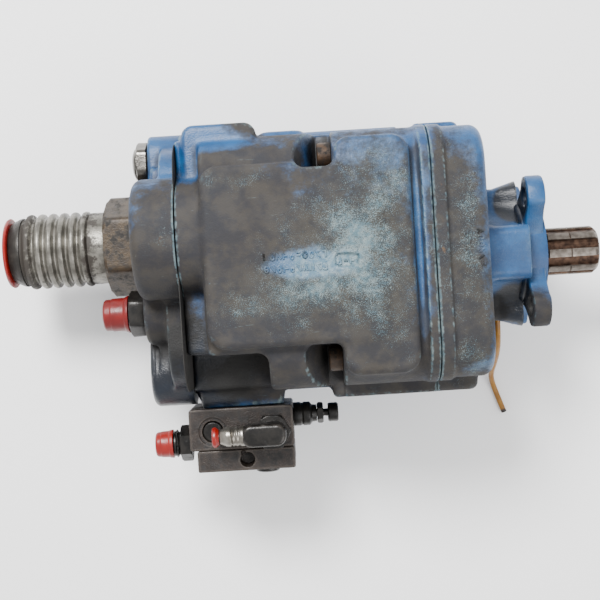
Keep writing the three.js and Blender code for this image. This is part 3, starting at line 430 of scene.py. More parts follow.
def cast_marks(shape, points):
    """How sharply the casting turns outwards at each point, and how closed in the point is: the
    first is the distance function's spread over six neighbours, the second compares the distance a
    little way out along the surface's own direction with that way."""
    def at(p):
        return shape(p[..., 0], p[..., 1], p[..., 2])
    reach = 2.2
    offsets = reach * np.concatenate([np.eye(3), -np.eye(3)])
    around_it = [at(points + offset) for offset in offsets]
    edge = (sum(around_it) - 6 * at(points)) / reach
    slope = np.stack([around_it[i] - around_it[i + 3] for i in range(3)], -1)
    slope /= np.maximum(np.linalg.norm(slope, axis=-1, keepdims=True), 1e-6)
    hollow = 0.0
    for way in (5.0, 11.0):
        hollow = hollow + 0.5 * np.clip(1 - at(points + way * slope) / way, 0, 1)
    return np.clip(edge, 0, 2), np.clip(hollow, 0, 1)


FAR_OUT = 150.0  # where the rays start, outside every casting


def casting(shape, stations, ray_count, bore):
    """A cast shell: the shape's outer radius at each station and ray, then back along its bore."""
    angle = rays(ray_count)[None, :]
    x = np.asarray(stations, float)[:, None]
    outer = around("x", x, found_radius(shape, x, angle, 0.0, 0.0, FAR_OUT), angle)
    bore = np.asarray(bore, float)
    first, last = outer[:1], outer[-1:]
    inner = around("x", bore[:, 0:1], bore[:, 1:2], angle, bore[:, 2:3], bore[:, 3:4])
    share = np.array([0.35, 0.7])[:, None, None]
    front = last + (inner[:1] - last) * share
    back = inner[-1:] + (first - inner[-1:]) * share
    rings = np.concatenate([outer, front, inner, back])
    edge, hollow = cast_marks(shape, rings)
    return rings, edge, hollow


# ---------- Shader building ----------
DULLED = 0.5  # how much darker the finishes are than their swatches, under the bright studio sky


def tone(code):
    """A linear colour from a six-digit sRGB code, dulled."""
    parts = np.array([int(code[i:i + 2], 16) for i in (0, 2, 4)]) / 255
    linear = np.where(parts <= 0.04045, parts / 12.92, ((parts + 0.055) / 1.055) ** 2.4)
    return (*(DULLED * linear).tolist(), 1.0)


def node(tree, kind, values=None, **settings):
    """A node with its settings made and its inputs set, or linked where the value is a socket."""
    made = tree.nodes.new(kind)
    for name, value in settings.items():
        setattr(made, name, value)
    for name, value in (values or {}).items():
        if isinstance(value, bpy.types.NodeSocket):
            tree.links.new(value, made.inputs[name])
        else:
            made.inputs[name].default_value = value
    return made


def sums(tree, operation, a, b):
    """One step of arithmetic on two values."""
    return node(tree, "ShaderNodeMath", {0: a, 1: b}, operation=operation).outputs[0]


def plus(tree, a, b):
    """Two values added."""
    return sums(tree, "ADD", a, b)


def times(tree, a, b):
    """Two values multiplied."""
    return sums(tree, "MULTIPLY", a, b)


def step(tree, value, low, high, out_low=0.0, out_high=1.0):
    """A smooth rise from out_low to out_high while value goes from low to high."""
    values = {"Value": value, "From Min": low, "From Max": high, "To Min": out_low, "To Max": out_high}
    return node(tree, "ShaderNodeMapRange", values, interpolation_type="SMOOTHSTEP").outputs[0]


def mixed(tree, share, a, b):
    """Colour b laid over colour a by a share."""
    values = {0: share, 6: a, 7: b}
    return node(tree, "ShaderNodeMix", values, data_type="RGBA").outputs[2]


def noise(tree, scale, detail=3.0, rough=0.55, stretch=(1, 1, 1)):
    """Fractal noise on Object coordinates; scale is how many lumps there are in a metre."""
    place = node(tree, "ShaderNodeTexCoord").outputs["Object"]
    if stretch != (1, 1, 1):
        place = node(tree, "ShaderNodeMapping", {"Vector": place, "Scale": stretch}).outputs[0]
    values = {"Vector": place, "Scale": scale, "Detail": detail, "Roughness": rough}
    return node(tree, "ShaderNodeTexNoise", values).outputs[0]


def mark(tree, name):
    """A value kept at the surface's points."""
    return node(tree, "ShaderNodeAttribute", attribute_name=name).outputs["Fac"]


def group(name, inputs, outputs, build):
    """A node group: inputs are {name: default}, outputs {name: kind}, and build fills it in."""
    tree = bpy.data.node_groups.new(name, "ShaderNodeTree")
    for label, default in inputs.items():
        kind = "NodeSocketColor" if isinstance(default, tuple) else "NodeSocketFloat"
        tree.interface.new_socket(name=label, in_out="INPUT", socket_type=kind).default_value = default
    for label, kind in outputs.items():
        tree.interface.new_socket(name=label, in_out="OUTPUT", socket_type=kind)
    start = tree.nodes.new("NodeGroupInput")
    end = tree.nodes.new("NodeGroupOutput")
    for label, socket in build(tree, start.outputs).items():
        tree.links.new(socket, end.inputs[label])
    return tree


def use(tree, kept, **values):
    """A node group placed in a material, with its own values; underscores stand for spaces."""
    made = node(tree, "ShaderNodeGroup", node_tree=kept)
    for name, value in values.items():
        target = made.inputs[name.replace("_", " ")]
        if isinstance(value, bpy.types.NodeSocket):
            tree.links.new(value, target)
        else:
            target.default_value = value
    return made.outputs


FLOAT, COLOUR = "NodeSocketFloat", "NodeSocketColor"


def build_flecks(tree, given):
    """Specks where fine noise plus coarse noise plus the amount passes one."""
    place = node(tree, "ShaderNodeTexCoord").outputs["Object"]
    fine = node(tree, "ShaderNodeTexNoise", {
        "Vector": place, "Scale": given["Scale"], "Detail": 4.0, "Roughness": 0.7,
    }).outputs[0]
    coarse = noise(tree, 55.0, 3.0)
    total = plus(tree, plus(tree, fine, times(tree, coarse, 0.5)), given["Amount"])
    return {"Mask": step(tree, total, 1.12, 1.3)}


def build_chips(tree, given):
    """Bare places along outer edges: the edge mark, broken up by noise."""
    broken = noise(tree, 240.0, 4.0, 0.65)
    total = times(tree, given["Edge"], plus(tree, broken, given["Amount"]))
    return {"Mask": step(tree, total, 0.16, 0.42)}


def build_grain(tree, given):
    """Height of a sand-cast skin: small pits on broad waves."""
    pits = noise(tree, 900.0, 3.0, 0.6)
    lumps = noise(tree, 160.0, 2.0)
    return {"Height": plus(tree, times(tree, pits, given["Pits"]), times(tree, lumps, given["Lumps"]))}


def build_two_tone(tree, given):
    """A colour that drifts between two, at a scale."""
    place = node(tree, "ShaderNodeTexCoord").outputs["Object"]
    drift = node(tree, "ShaderNodeTexNoise", {
        "Vector": place, "Scale": given["Scale"], "Detail": 5.0, "Roughness": 0.6,
    }).outputs[0]
    return {"Colour": mixed(tree, step(tree, drift, 0.35, 0.65), given["One"], given["Other"])}


FLECKS = group("flecks", {"Amount": 0.0, "Scale": 900.0}, {"Mask": FLOAT}, build_flecks)
CHIPS = group("edge_chips", {"Edge": 0.0, "Amount": 0.0}, {"Mask": FLOAT}, build_chips)
GRAIN = group("cast_grain", {"Pits": 0.5, "Lumps": 0.5}, {"Height": FLOAT}, build_grain)
BLACK, WHITE = (0, 0, 0, 1.0), (1, 1, 1, 1.0)
TWO_TONE = group(
    "two_tone", {"Scale": 60.0, "One": BLACK, "Other": WHITE}, {"Colour": COLOUR}, build_two_tone,
)


def new_material(name):
    """A material with its tree and its shader."""
    material = bpy.data.materials.new(name)
    material.use_nodes = True
    return material, material.node_tree, material.node_tree.nodes["Principled BSDF"]


def finish_material(tree, shader, colour, rough, height, depth, metal=None):
    """Links a material's maps; depth is how far, in metres, the height's full range stands."""
    tree.links.new(colour, shader.inputs["Base Color"])
    tree.links.new(rough, shader.inputs["Roughness"])
    if isinstance(metal, bpy.types.NodeSocket):
        tree.links.new(metal, shader.inputs["Metallic"])
    elif metal is not None:
        shader.inputs["Metallic"].default_value = metal
    bump = node(tree, "ShaderNodeBump", {"Height": height, "Distance": depth, "Strength": 0.9})
    tree.links.new(bump.outputs[0], shader.inputs["Normal"])


# ---------- Finishes ----------
def painted_iron():
    """Old blue paint on cast iron: scuffed pale where it stands proud, chipped pale along the edges,
    buried under grey-brown grime, stained tan with rust in places and oily black in others. The grime's
    colour also fills closed-in hollows, as settled dirt and as painted shade, and the oily black at the
    neck's scoops and behind the flange's ears is partly painted shade."""
    material, tree, shader = new_material("painted_iron")
    edge, hollow = mark(tree, "edge"), mark(tree, "hollow")
    blue = use(tree, TWO_TONE, Scale=38.0, One=tone("0f4a80"), Other=tone("1d65a2"))["Colour"]
    chalk = use(tree, TWO_TONE, Scale=300.0, One=tone("6a93a2"), Other=tone("a6bec2"))["Colour"]
    dirt = use(tree, TWO_TONE, Scale=75.0, One=tone("221a10"), Other=tone("3d331f"))["Colour"]
    rust = use(tree, TWO_TONE, Scale=220.0, One=tone("6a4526"), Other=tone("9a7747"))["Colour"]

    worn = mark(tree, "worn")
    thin = use(tree, FLECKS, Amount=times(tree, worn, 0.4), Scale=1100.0)["Mask"]
    veil = step(tree, plus(tree, worn, noise(tree, 45.0, 4.0)), 0.6, 1.9, 0.0, 0.4)
    colour = mixed(tree, sums(tree, "MAXIMUM", times(tree, thin, 0.7), veil), blue, chalk)

    patchy = plus(tree, mark(tree, "grime"), times(tree, noise(tree, 60.0, 8.0, 0.75), 1.1))
    cover = step(tree, patchy, 0.68, 1.12)
    # Painted shade as well as settled dirt: the grime's colour is laid into closed-in hollows, more where a
    # point is more closed in.
    crevice = plus(tree, hollow, times(tree, noise(tree, 130.0), 0.3))
    crevice = plus(tree, crevice, sums(tree, "MINIMUM", mark(tree, "grime"), 0.0))
    settled_dirt_and_shade = step(tree, crevice, 0.36, 0.76, 0.0, 0.8)
    cover = sums(tree, "MAXIMUM", times(tree, cover, 0.94), settled_dirt_and_shade)
    colour = mixed(tree, cover, colour, dirt)

    amount = plus(tree, times(tree, worn, 0.2), 0.18)
    lifted = use(tree, FLECKS, Amount=amount, Scale=1500.0)["Mask"]
    colour = mixed(tree, times(tree, lifted, 0.7), colour, chalk)
    rubbed = use(tree, FLECKS, Amount=times(tree, worn, 0.2), Scale=420.0)["Mask"]
    colour = mixed(tree, times(tree, rubbed, 0.35), colour, chalk)
    scratch = noise(tree, 60.0, 4.0, 0.7, (0.6, 9.0, 9.0))
    scratch = times(tree, step(tree, scratch, 0.66, 0.72), 0.3)
    colour = mixed(tree, scratch, colour, chalk)

    chips = use(tree, CHIPS, Edge=edge, Amount=-0.22)["Mask"]
    colour = mixed(tree, times(tree, chips, 0.42), colour, chalk)
    stains = step(tree, plus(tree, mark(tree, "rust"), noise(tree, 160.0, 4.0)), 0.95, 1.2, 0.0, 0.8)
    colour = mixed(tree, stains, colour, rust)

    # Oily black; at the neck's scoops and behind the flange's ears it is painted shade as well.
    oil_and_shade = step(tree, plus(tree, mark(tree, "oil_and_shade"), times(tree, noise(tree, 85.0, 5.0), 0.5)), 0.6, 1.05)
    colour = mixed(tree, times(tree, oil_and_shade, 0.93), colour, tone("0d0b09"))

    rough = step(tree, cover, 0.0, 1.0, 0.42, 0.78)
    rough = sums(tree, "SUBTRACT", rough, times(tree, oil_and_shade, 0.1))
    grain = use(tree, GRAIN, Pits=0.45, Lumps=0.5)["Height"]
    height = sums(tree, "SUBTRACT", grain, times(tree, chips, 0.35))
    finish_material(tree, shader, colour, rough, height, 0.0007, 0.0)
    return material


def dirty_steel(name, base, other, grime, rough, metal, share, bare=None, depth=0.0002):
    """Steel or iron under dirt: two tones, a share of grime in patches and lighter chipped edges."""
    material, tree, shader = new_material(name)
    body = use(tree, TWO_TONE, Scale=140.0, One=tone(base), Other=tone(other))["Colour"]
    patch = plus(tree, noise(tree, 120.0, 6.0, 0.7), mark(tree, "grime"))
    patch = step(tree, patch, 0.72 - share * 0.5, 0.86 - share * 0.5)
    colour = mixed(tree, patch, body, tone(grime))
    shine = mark(tree, "edge")
    chips = use(tree, CHIPS, Edge=shine, Amount=0.0)["Mask"]
    colour = mixed(tree, times(tree, chips, 0.5), colour, tone(bare or other))
    roughness = plus(tree, times(tree, patch, 0.3), rough)
    metallic = times(tree, sums(tree, "SUBTRACT", 1.0, patch), metal)
    height = use(tree, GRAIN, Pits=0.6, Lumps=0.25)["Height"]
    finish_material(tree, shader, colour, roughness, height, depth, metallic)
    return material


def turned_metal(name, base, other, rough, metal):
    """Machined metal with fine lines across the way it was turned."""
    material, tree, shader = new_material(name)
    colour = use(tree, TWO_TONE, Scale=90.0, One=tone(base), Other=tone(other))["Colour"]
    lines = noise(tree, 300.0, 2.0, 0.5, (8, 1, 1))
    roughness = step(tree, lines, 0.2, 0.8, rough - 0.08, rough + 0.12)
    finish_material(tree, shader, colour, roughness, lines, 0.00005, metal)
    return material


def plastic(name, base, other, rough):
    """Moulded plastic that has been handled: two close tones, a soft sheen and faint dents."""
    material, tree, shader = new_material(name)
    colour = use(tree, TWO_TONE, Scale=120.0, One=tone(base), Other=tone(other))["Colour"]
    dust = use(tree, FLECKS, Amount=0.0, Scale=500.0)["Mask"]
    colour = mixed(tree, times(tree, dust, 0.25), colour, tone("5a4a40"))
    soiled = step(tree, plus(tree, mark(tree, "grime"), noise(tree, 200.0)), 0.9, 1.3)
    colour = mixed(tree, soiled, colour, tone("2b2018"))
    roughness = step(tree, noise(tree, 90.0), 0.3, 0.7, rough - 0.06, rough + 0.1)
    finish_material(tree, shader, colour, roughness, noise(tree, 250.0), 0.0002, 0.0)
    return material


def splined_steel():
    """Shaft steel: grey worn lands, grooves brown with old grease and a little rust."""
    material, tree, shader = new_material("splined_steel")
    land = use(tree, TWO_TONE, Scale=200.0, One=tone("7b726a"), Other=tone("9f968d"))["Colour"]
    grease = use(tree, TWO_TONE, Scale=160.0, One=tone("3b2a22"), Other=tone("6e5444"))["Colour"]
    low = step(tree, plus(tree, mark(tree, "groove"), times(tree, noise(tree, 300.0), 0.4)), 0.4, 0.9)
    colour = mixed(tree, low, land, grease)
    lines = noise(tree, 500.0, 3.0, 0.6, (0.2, 1.0, 1.0))
    roughness = step(tree, lines, 0.3, 0.7, 0.26, 0.5)
    finish_material(tree, shader, colour, roughness, lines, 0.00012, 0.85)
    return material


MATERIALS = dict(
    paint=painted_iron(),
    oily_iron=dirty_steel("oily_iron", "2a2320", "3d332d", "151110", 0.4, 0.3, 0.45, "5a5048", 0.0006),
    black_steel=dirty_steel("black_steel", "1d1c1b", "33302d", "120f0d", 0.32, 0.5, 0.3, "77706a"),
    rusty_steel=dirty_steel("rusty_steel", "3a2a1c", "5a4028", "1c140e", 0.55, 0.3, 0.5, "705430", 0.0004),
    plug_steel=dirty_steel("plug_steel", "77746f", "a5a29c", "3b3733", 0.25, 0.95, 0.2, "d8d5d0"),
    hex_iron=dirty_steel("hex_iron", "382d22", "54442f", "1e1812", 0.45, 0.4, 0.45, "8a7452", 0.0004),
    cast_alloy=dirty_steel("cast_alloy", "7d7a72", "aca89e", "3a332b", 0.36, 0.7, 0.22, "d9d5cc", 0.0003),
    dark_alloy=dirty_steel("dark_alloy", "2f2c29", "45413c", "191614", 0.4, 0.4, 0.4, "7e756b", 0.0004),
    thread_steel=dirty_steel("thread_steel", "a09a90", "c9c4ba", "4d4032", 0.3, 0.9, 0.1, "dedad2"),
    splined=splined_steel(),
    steel=turned_metal("ground_steel", "8f8d88", "a8a6a1", 0.3, 0.95),
    bronze=turned_metal("bearing_bronze", "92703f", "ab8750", 0.36, 0.9),
    rubber=plastic("rubber", "141414", "1f1f1f", 0.7),
    gasket=plastic("gasket", "2b2a28", "3a3733", 0.85),
    red=plastic("red_plastic", "7c0d0c", "8f1412", 0.36),
    bright_red=plastic("bright_red_plastic", "a3150c", "b31e12", 0.36),
    yellow=plastic("yellow_wire", "a86c00", "c28604", 0.42),
)

# Slots whose finish goes by another name; the other finishes are named as their slots are.
FINISH_OF_SLOT = {"red_plastic": "red", "yellow_plastic": "yellow", "spline_steel": "splined"}


def finish_cad_nodes():
    """Every CAD node takes the finish of its own material slot in the record."""
    slots = {row["node"]: row["material_slot"] for row in frame["record"]["subparts"]}
    for name, made in frame["nodes"].items():
        slot = slots.get(name, "steel")
        material = MATERIALS[FINISH_OF_SLOT.get(slot, slot)]
        for socket in made.material_slots:
            socket.material = material
        if not made.material_slots:
            made.data.materials.append(material)


finish_cad_nodes()


# ---------- Where the castings are dirty, scuffed, oily and rusty, and where shade is painted ---
# Each patch is (x, y, z, reach along x, y and z, strength), in the pump frame.
GRIME = [
    (-160, 0, 97, 120, 105, 45, 0.62), (-150, -10, 97, 60, 70, 30, 0.15), (-174, -2, 97, 32, 11, 20, -1.0),
    (-215, -80, 40, 44, 22, 50, 0.9), (-96, 10, 88, 3.5, 52, 22, -1.3), (-232, 88, 40, 24, 16, 30, -0.7),
    (-200, 74, 60, 20, 4, 14, 0.3), (-228, 10, 97, 26, 52, 30, 0.75), (-190, -38, 97, 55, 20, 30, 0.5),
    (-165, -78, 70, 44, 18, 44, 0.9), (-215, 74, 80, 34, 6, 14, 1.0), (-212, 100, 66, 20, 9, 16, 0.75),
    (-225, 45, 97, 22, 20, 20, 0.5), (-115, -68, 90, 40, 16, 36, 0.75), (-64, -40, 88, 20, 46, 24, 0.45),
    (-66, 40, 88, 16, 46, 24, 0.3), (-78, 0, 90, 5, 90, 20, 0.6), (-100, -94, 20, 70, 9, 60, 0.75),
    (-38, -42, 20, 14, 12, 34, 1.1), (-8, -44, 45, 10, 14, 22, 1.1), (-280, 5, 70, 22, 36, 50, 0.75),
    (-278, -34, 30, 20, 26, 44, 1.1), (-272, 50, 70, 20, 16, 40, 0.35), (-140, 5, -97, 150, 80, 30, 0.7),
    (-120, 96, -40, 120, 14, 40, 0.45), (-292, 40, 0, 10, 60, 60, 0.6), (-185, 90, 62, 18, 12, 22, 0.3),
    (-60, -94, 20, 16, 10, 60, 1.0), (-130, 88, 70, 40, 6, 24, 0.25),
]
WORN = [
    (-150, 18, 97, 46, 34, 24, 0.75), (-126, -18, 97, 30, 56, 24, 0.85), (-120, 55, 97, 34, 30, 24, 0.7),
    (-64, 0, 88, 20, 84, 30, 0.8), (-185, -28, 97, 50, 24, 20, 0.55), (-58, -74, 60, 14, 16, 40, 0.75),
    (-276, 28, 90, 16, 18, 24, 0.5), (-22, 0, 54, 12, 20, 12, 0.3), (-6, 0, 40, 8, 46, 46, 0.5),
    (-226, -84, 26, 18, 12, 18, 0.55), (-110, -92, 20, 60, 7, 50, 0.5), (-222, 60, 97, 30, 10, 16, 0.5),
    (-172, -2, 97, 36, 18, 20, 0.7), (-205, -28, 97, 40, 20, 20, 0.4), (-238, 40, 95, 4, 30, 16, 0.5),
]
OIL_AND_SHADE = [
    (-240, -84, 10, 34, 24, 60, 1.0), (-280, -74, 0, 26, 32, 70, 1.5), (-264, -48, 40, 12, 14, 40, 1.0),
    (-158, -72, 60, 10, 16, 20, 1.4), (-158, 78, 60, 11, 18, 20, 1.6), (-222, -66, 38, 30, 8, 26, 0.5),
    # Painted shade as well as oily dirt: the last two patches on the next line blacken the neck's scoops, and
    # the two on the line after blacken the backs of the flange's ears.
    (-160, 0, -97, 120, 70, 20, 0.35), (-20, 38, 20, 10, 15, 22, 1.9), (-22, -38, 20, 12, 15, 22, 1.9),
    (-14.5, 42, 30, 2.2, 17, 24, 1.8), (-14.5, -42, 30, 2.2, 17, 24, 1.8),
    (-253, -50, 60, 9, 24, 20, 0.8),
]
RUST = [
    (-268, 68, 30, 22, 2.5, 22, 0.75), (-202, 84, 60, 5, 12, 14, 0.6), (-184, 88, 56, 20, 3, 12, 0.5),
    (-276, 32, 88, 5, 5, 14, 0.6), (-272, 22, 90, 3, 4, 14, 0.6), (-80, 10, 92, 3, 76, 12, 0.42),
    (-150, -76, 66, 6, 8, 20, 0.4), (-256, -100, 0, 10, 8, 30, 0.4),
]


def patched(points, patches):
    """The sum of soft bumps at the given places, each falling off with the square of the distance."""
    total = np.zeros(points.shape[:-1])
    for x, y, z, reach_x, reach_y, reach_z, strength in patches:
        away = (points - np.array([x, y, z])) / np.array([reach_x, reach_y, reach_z])
        total = total + strength * np.exp(-(away**2).sum(-1))
    return total


def wear_and_shade_marks(rings, edge, hollow):
    """All the marks the paint reads, for a surface's points."""
    found = dict(edge=edge, hollow=hollow)
    for name, patches in (("grime", GRIME), ("worn", WORN), ("oil_and_shade", OIL_AND_SHADE), ("rust", RUST)):
        found[name] = patched(rings, patches)
    return {name: values.ravel() for name, values in found.items()}


# ---------- Castings ----------
RAYS = 430  # round each casting


def make_casting(name, shape, stations, bore):
    """One painted casting from its distance shape and its bore."""
    rings, edge, hollow = casting(shape, stations, RAYS, bore)
    rings[..., 2] = np.maximum(rings[..., 2], BODY["under"])  # the fillets stay above the flat underside
    piece(
        name + "_casting", knit(rings, loop=True), MATERIALS["paint"], "housing",
        [name], sharp=50, marks=wear_and_shade_marks(rings, edge, hollow),
    )


def bore_rows(*pairs):
    """Rows (x, radius, centre y, centre z) of a bore, from the front to the rear."""
    return np.array([(*row, 0, 0)[:4] for row in pairs], float)


EASE = 0.01  # keeps a station just inside an end plane


def make_castings():
    """The main housing, the front cover and the rear housing, each with rings closer together where its
    outline turns sharply."""
    front, rear = PARTING_FRONT - SEAM, PARTING_REAR
    pocket_end = BOLT["at"] - BOLT["pocket"]
    turns = [rear, front, PLATE["left"], PLATE["right"], PLATE["step"], pocket_end, LUG["right"]]
    room = 62
    make_casting(
        "main_housing", main_housing_shape, spaced(rear + EASE, front - EASE, 190, turns, 3.0, 3.0),
        bore_rows((front, room), (front - 60, room), (rear + 60, room), (rear, room)),
    )
    rear, face = PARTING_FRONT, -FLANGE["thickness"]
    turns = [rear, rear + 10, COVER_SHOULDER, -14]
    make_casting(
        "front_cover", cover_shape, spaced(rear + EASE, face, 120, turns, 3.0, 3.0),
        bore_rows((face, 24), (-50, 24), (-50, 31), (rear, 31)),
    )
    front, rear = PARTING_REAR - SEAM, REAR["end"]
    port = (REAR["port_y"], REAR["port_z"])
    turns = [rear, front, -276]
    make_casting(
        "rear_housing", rear_housing_shape, spaced(rear + EASE, front - EASE, 70, turns, 3.0, 3.0),
        bore_rows((front, 17.5), (rear + 14, 17.5), (rear + 14, 20, *port), (rear, 20, *port)),
    )


def outline_radius(angle, y0, z0, shape):
    """Distance from (y0, z0) outwards to a flat shape's edge, walked in from outside."""
    radius = np.full(np.shape(angle), 60.0)
    for _ in range(80):
        radius = radius - 0.8 * shape(y0 + radius * np.sin(angle), z0 + radius * np.cos(angle))
    return radius


def flange_outline(y, z):
    """The square flange, drawn in between its ears by four large circles, beyond the neck."""
    plate = rounded_rect(y, z, -EAR, EAR, -EAR, EAR, FLANGE["corner"])
    waist = FLANGE["waist_radius"]
    centre = FLANGE["waist"] + waist
    centres = [(centre, 0), (-centre, 0), (0, centre), (0, -centre)]
    return cut(3, plate, *[disc(y, z, u, v, waist) for u, v in centres])


def make_flange_ears():
    """Four ears of the flange: about each bolt hole, a ring whose outside follows the flange's outline
    and whose inner side runs into the neck."""
    thick, hole = FLANGE["thickness"], FLANGE["hole"]
    angle = np.arange(160) * 2 * np.pi / 160
    edge = 2.0
    for k, (side_y, side_z) in enumerate([(1, 1), (-1, 1), (1, -1), (-1, -1)]):
        y0, z0 = side_y * FLANGE["half_pitch"], side_z * FLANGE["half_pitch"]

        def ear(y, z):
            towards = (y * side_y + z * side_z) / math.sqrt(2)
            beyond = np.maximum(np.maximum(-y * side_y, -z * side_z) + 6, 26 - towards)
            return np.maximum(flange_outline(y, z), beyond)

        reach = outline_radius(angle, y0, z0, ear)
        near = 1 - math.sqrt(0.5)
        rows = np.array([
            (-thick / 2, 0, 0), (1 - thick, 0, 0), (-thick, 0, 1), (-thick, 0.4, 0), (-thick, 1, -edge),
            (-thick + near * edge, 1, -near * edge), (-thick + edge, 1, 0), (-thick / 2, 1, 0), (-edge, 1, 0),
            (-near * edge, 1, -near * edge), (0, 1, -edge), (0, 0.4, 0), (0, 0, 1), (-1, 0, 0),
        ])
        radius = hole + rows[:, 1:2] * (reach - hole)[None, :] + rows[:, 2:3]
        rings = around("x", rows[:, 0:1], radius, angle[None, :], y0, z0)
        proud = (rows[:, 1:2] == 1) & (np.abs(rows[:, 0:1] + thick / 2) > thick / 2 - 0.9 * edge)
        edges = np.repeat(proud * 0.8, len(angle), 1)
        piece(
            f"flange_ear_{k + 1}", knit(rings, loop=True), MATERIALS["paint"], "housing",
            marks=wear_and_shade_marks(rings, edges, 0 * edges),
        )


def make_flange_face():
    """The register disc and the proud ring round the shaft seal, turned on the cover's front."""
    rows = [
        (-16, 38), (-14, 40), (2.5, 40), (2.5, 26.5), (6, 26), (6, 24.2), (4.6, 23.4), (-6.2, 23.4),
        (-6.2, 20.5), (-16, 20.5), (-16, 38),
    ]
    rows = softened(rows, 0.7)
    angle = np.arange(120) * 2 * np.pi / 120
    rings = around("x", rows[:-1, 0:1], rows[:-1, 1:2], angle[None, :])
    edge = np.repeat(((rows[:-1, 0:1] > 2) & (rows[:-1, 1:2] > 23.9)) * 0.5, 120, 1)
    piece(
        "flange_register", knit(rings, loop=True), MATERIALS["paint"], "housing",
        marks=wear_and_shade_marks(rings, edge, 0 * edge),
    )


# ---------- Light and ground ----------
def add_area(name, place, target, size, power):
    """A round lamp at a place, turned to a target."""
    data = bpy.data.lights.new(name, "AREA")
    data.shape = "DISK"
    data.size = size
    data.energy = power
    lamp = bpy.data.objects.new(name, data)
    lamp.location = place
    lamp.rotation_euler = (Vector(target) - Vector(place)).to_track_quat("-Z", "Y").to_euler()
    bpy.context.scene.collection.objects.link(lamp)


def make_studio():
    """A pale floor, an even sky and soft lamps; the key stands above the picture's upper left."""
    world = bpy.data.worlds.new("studio")
    bpy.context.scene.world = world
    world.use_nodes = True
    background = world.node_tree.nodes["Background"]
    background.inputs["Color"].default_value = (1.0, 1.0, 1.0, 1.0)
    background.inputs["Strength"].default_value = 1.15
    add_area("key", (-0.35, 0.75, 1.3), (0, 0, 0.05), 0.5, 46)
    add_area("fill", (0.7, -0.6, 1.1), (0, 0, 0.05), 0.9, 10)
    floor_material, tree, shader = new_material("studio_floor")
    shader.inputs["Roughness"].default_value = 0.9
    colour = mixed(tree, noise(tree, 3.0), (0.93, 0.93, 0.93, 1), (0.96, 0.96, 0.96, 1))
    tree.links.new(colour, shader.inputs["Base Color"])
    reach = 6.0
    corners = [(-reach, -reach, 0), (reach, -reach, 0), (reach, reach, 0), (-reach, reach, 0)]
    floor = bpy.data.meshes.new("floor")
    floor.from_pydata(corners, [], [(0, 1, 2, 3)])
    floor.materials.append(floor_material)
    made = bpy.data.objects.new("floor", floor)
    bpy.context.scene.collection.objects.link(made)
    made.location = (0, 0, -0.0005)


# ---------- Shaft ----------
SPLINE = dict(teeth=8, outer=18, inner=16, half_land=3, turn=7, witness=25.5, witness_radius=17.3)


def make_shaft():
    """The shaft's journals as a turned profile, then eight straight-sided splines: a section of arcs
    and flats carried to the end, pared down by a cone at the tip and a fine groove at mid-length."""
    journals = [
        (-277, 12), (-254, 12), (-254, 15), (-81, 15), (-81, 20), (-72.3, 20), (-72.3, 19), (-50, 19),
        (-50, 18.5), (5.5, 18.5), (5.5, 17), (8, 16),
    ]
    s, w, tip = SPLINE, SPLINE["witness"], SHAFT_TIP
    sector = 2 * np.pi / s["teeth"]
    flank_out, flank_in = np.arcsin(s["half_land"] / s["outer"]), np.arcsin(s["half_land"] / s["inner"])
    land = np.linspace(-flank_out, flank_out, 7)
    valley = np.linspace(flank_in, sector - flank_in, 9)
    angle = np.concatenate([land, valley])
    radius = np.concatenate([np.full(7, s["outer"]), np.full(9, s["inner"])])
    turns = (np.arange(s["teeth"]) * sector)[:, None]
    angle = (angle[None, :] + turns).ravel() - math.radians(s["turn"])
    radius = np.tile(radius, s["teeth"])
    groove_sides = [w - 0.6, w - 0.35, w + 0.35, w + 0.6]
    middle = [*groove_sides[:2], w, *groove_sides[2:]]
    stations = np.array([5, 7, 8, 9, 12, 18, *middle, 32, 38, 43.5, 44.5, 45.5, 46.4, tip])
    full, low = s["outer"], s["witness_radius"]
    limit = np.interp(
        stations, [5, 7, 9, *groove_sides, 44, 46.4, tip],
        [s["inner"], s["inner"], full, full, low, low, full, full, 15.9, 15.2],
    )
    pared = np.minimum(radius[None, :], limit[:, None])
    rings = around("x", stations[:, None], pared, angle[None, :])
    face_radius = np.array([[13.5], [5.0]]) * np.ones_like(angle)
    face = around("x", np.array([[tip], [tip - 0.8]]), face_radius, angle[None, :])
    rings = np.concatenate([rings, face])
    groove = np.where(np.hypot(rings[..., 1], rings[..., 2]) < s["inner"] + 0.4, 1.0, 0.0)
    groove[-4:] = 0.35  # the tip's cone and face
    groove[8] = 1.0  # the ring at the bottom of the mid-length groove
    body = turned("x", journals, columns=96)
    teeth = knit(rings)
    marks = dict(groove=np.concatenate([np.zeros(len(body[0])), groove.ravel(), [0.6, 0.6]]))
    piece(
        "splined_drive_shaft", merged([body, teeth]), MATERIALS["splined"], "shaft",
        ["drive_shaft"], sharp=30, marks=marks,
    )


# ---------- Fittings ----------
# A profile that is listed towards lower X is turned round by [::-1], so that its faces point outwards.
def turned_fitting(
    name, axis, rows, centre, stands_for=(), finish="black_steel", slot="black_steel", body="housing", **how
):
    """A turned profile about the line through `centre`, made a piece; most of them are black steel."""
    piece(name, turned(axis, rows, *centre, **how), MATERIALS[finish], body, stands_for)


def dirt_on(knitted, patches):
    """The grime mark alone: soft patches at a surface's points."""
    return dict(grime=patched(knitted[0], patches))


def make_bias_plug():
    """A hexagon plug: a washer face, six flats with turned ends, and a domed boss, about one line."""
    at = BIAS["end"]
    rows = [
        (at + 12, 7), (at - 0.3, 7), (at - 0.3, 14.6), (at - 1, 14.8), (at - 1, 16.4, 30), (at - 8, 16.6, 30),
        (at - 9.2, 14.9, 30), (at - 9.2, 12.8), (at - 11, 11.6), (at - 12.4, 8.5), (at - 13, 4),
    ]
    turned_fitting(
        "bias_spring_plug", "x", rows[::-1], (BIAS["y"], 0), ["bias_plug"], "plug_steel", "plug_steel",
        bevel=0.5,
    )


HOSE = dict(hex=67, hex_from=-324, collar=13, rib=29, pitch=8.5, ribs=6, end=-398, bore=20)


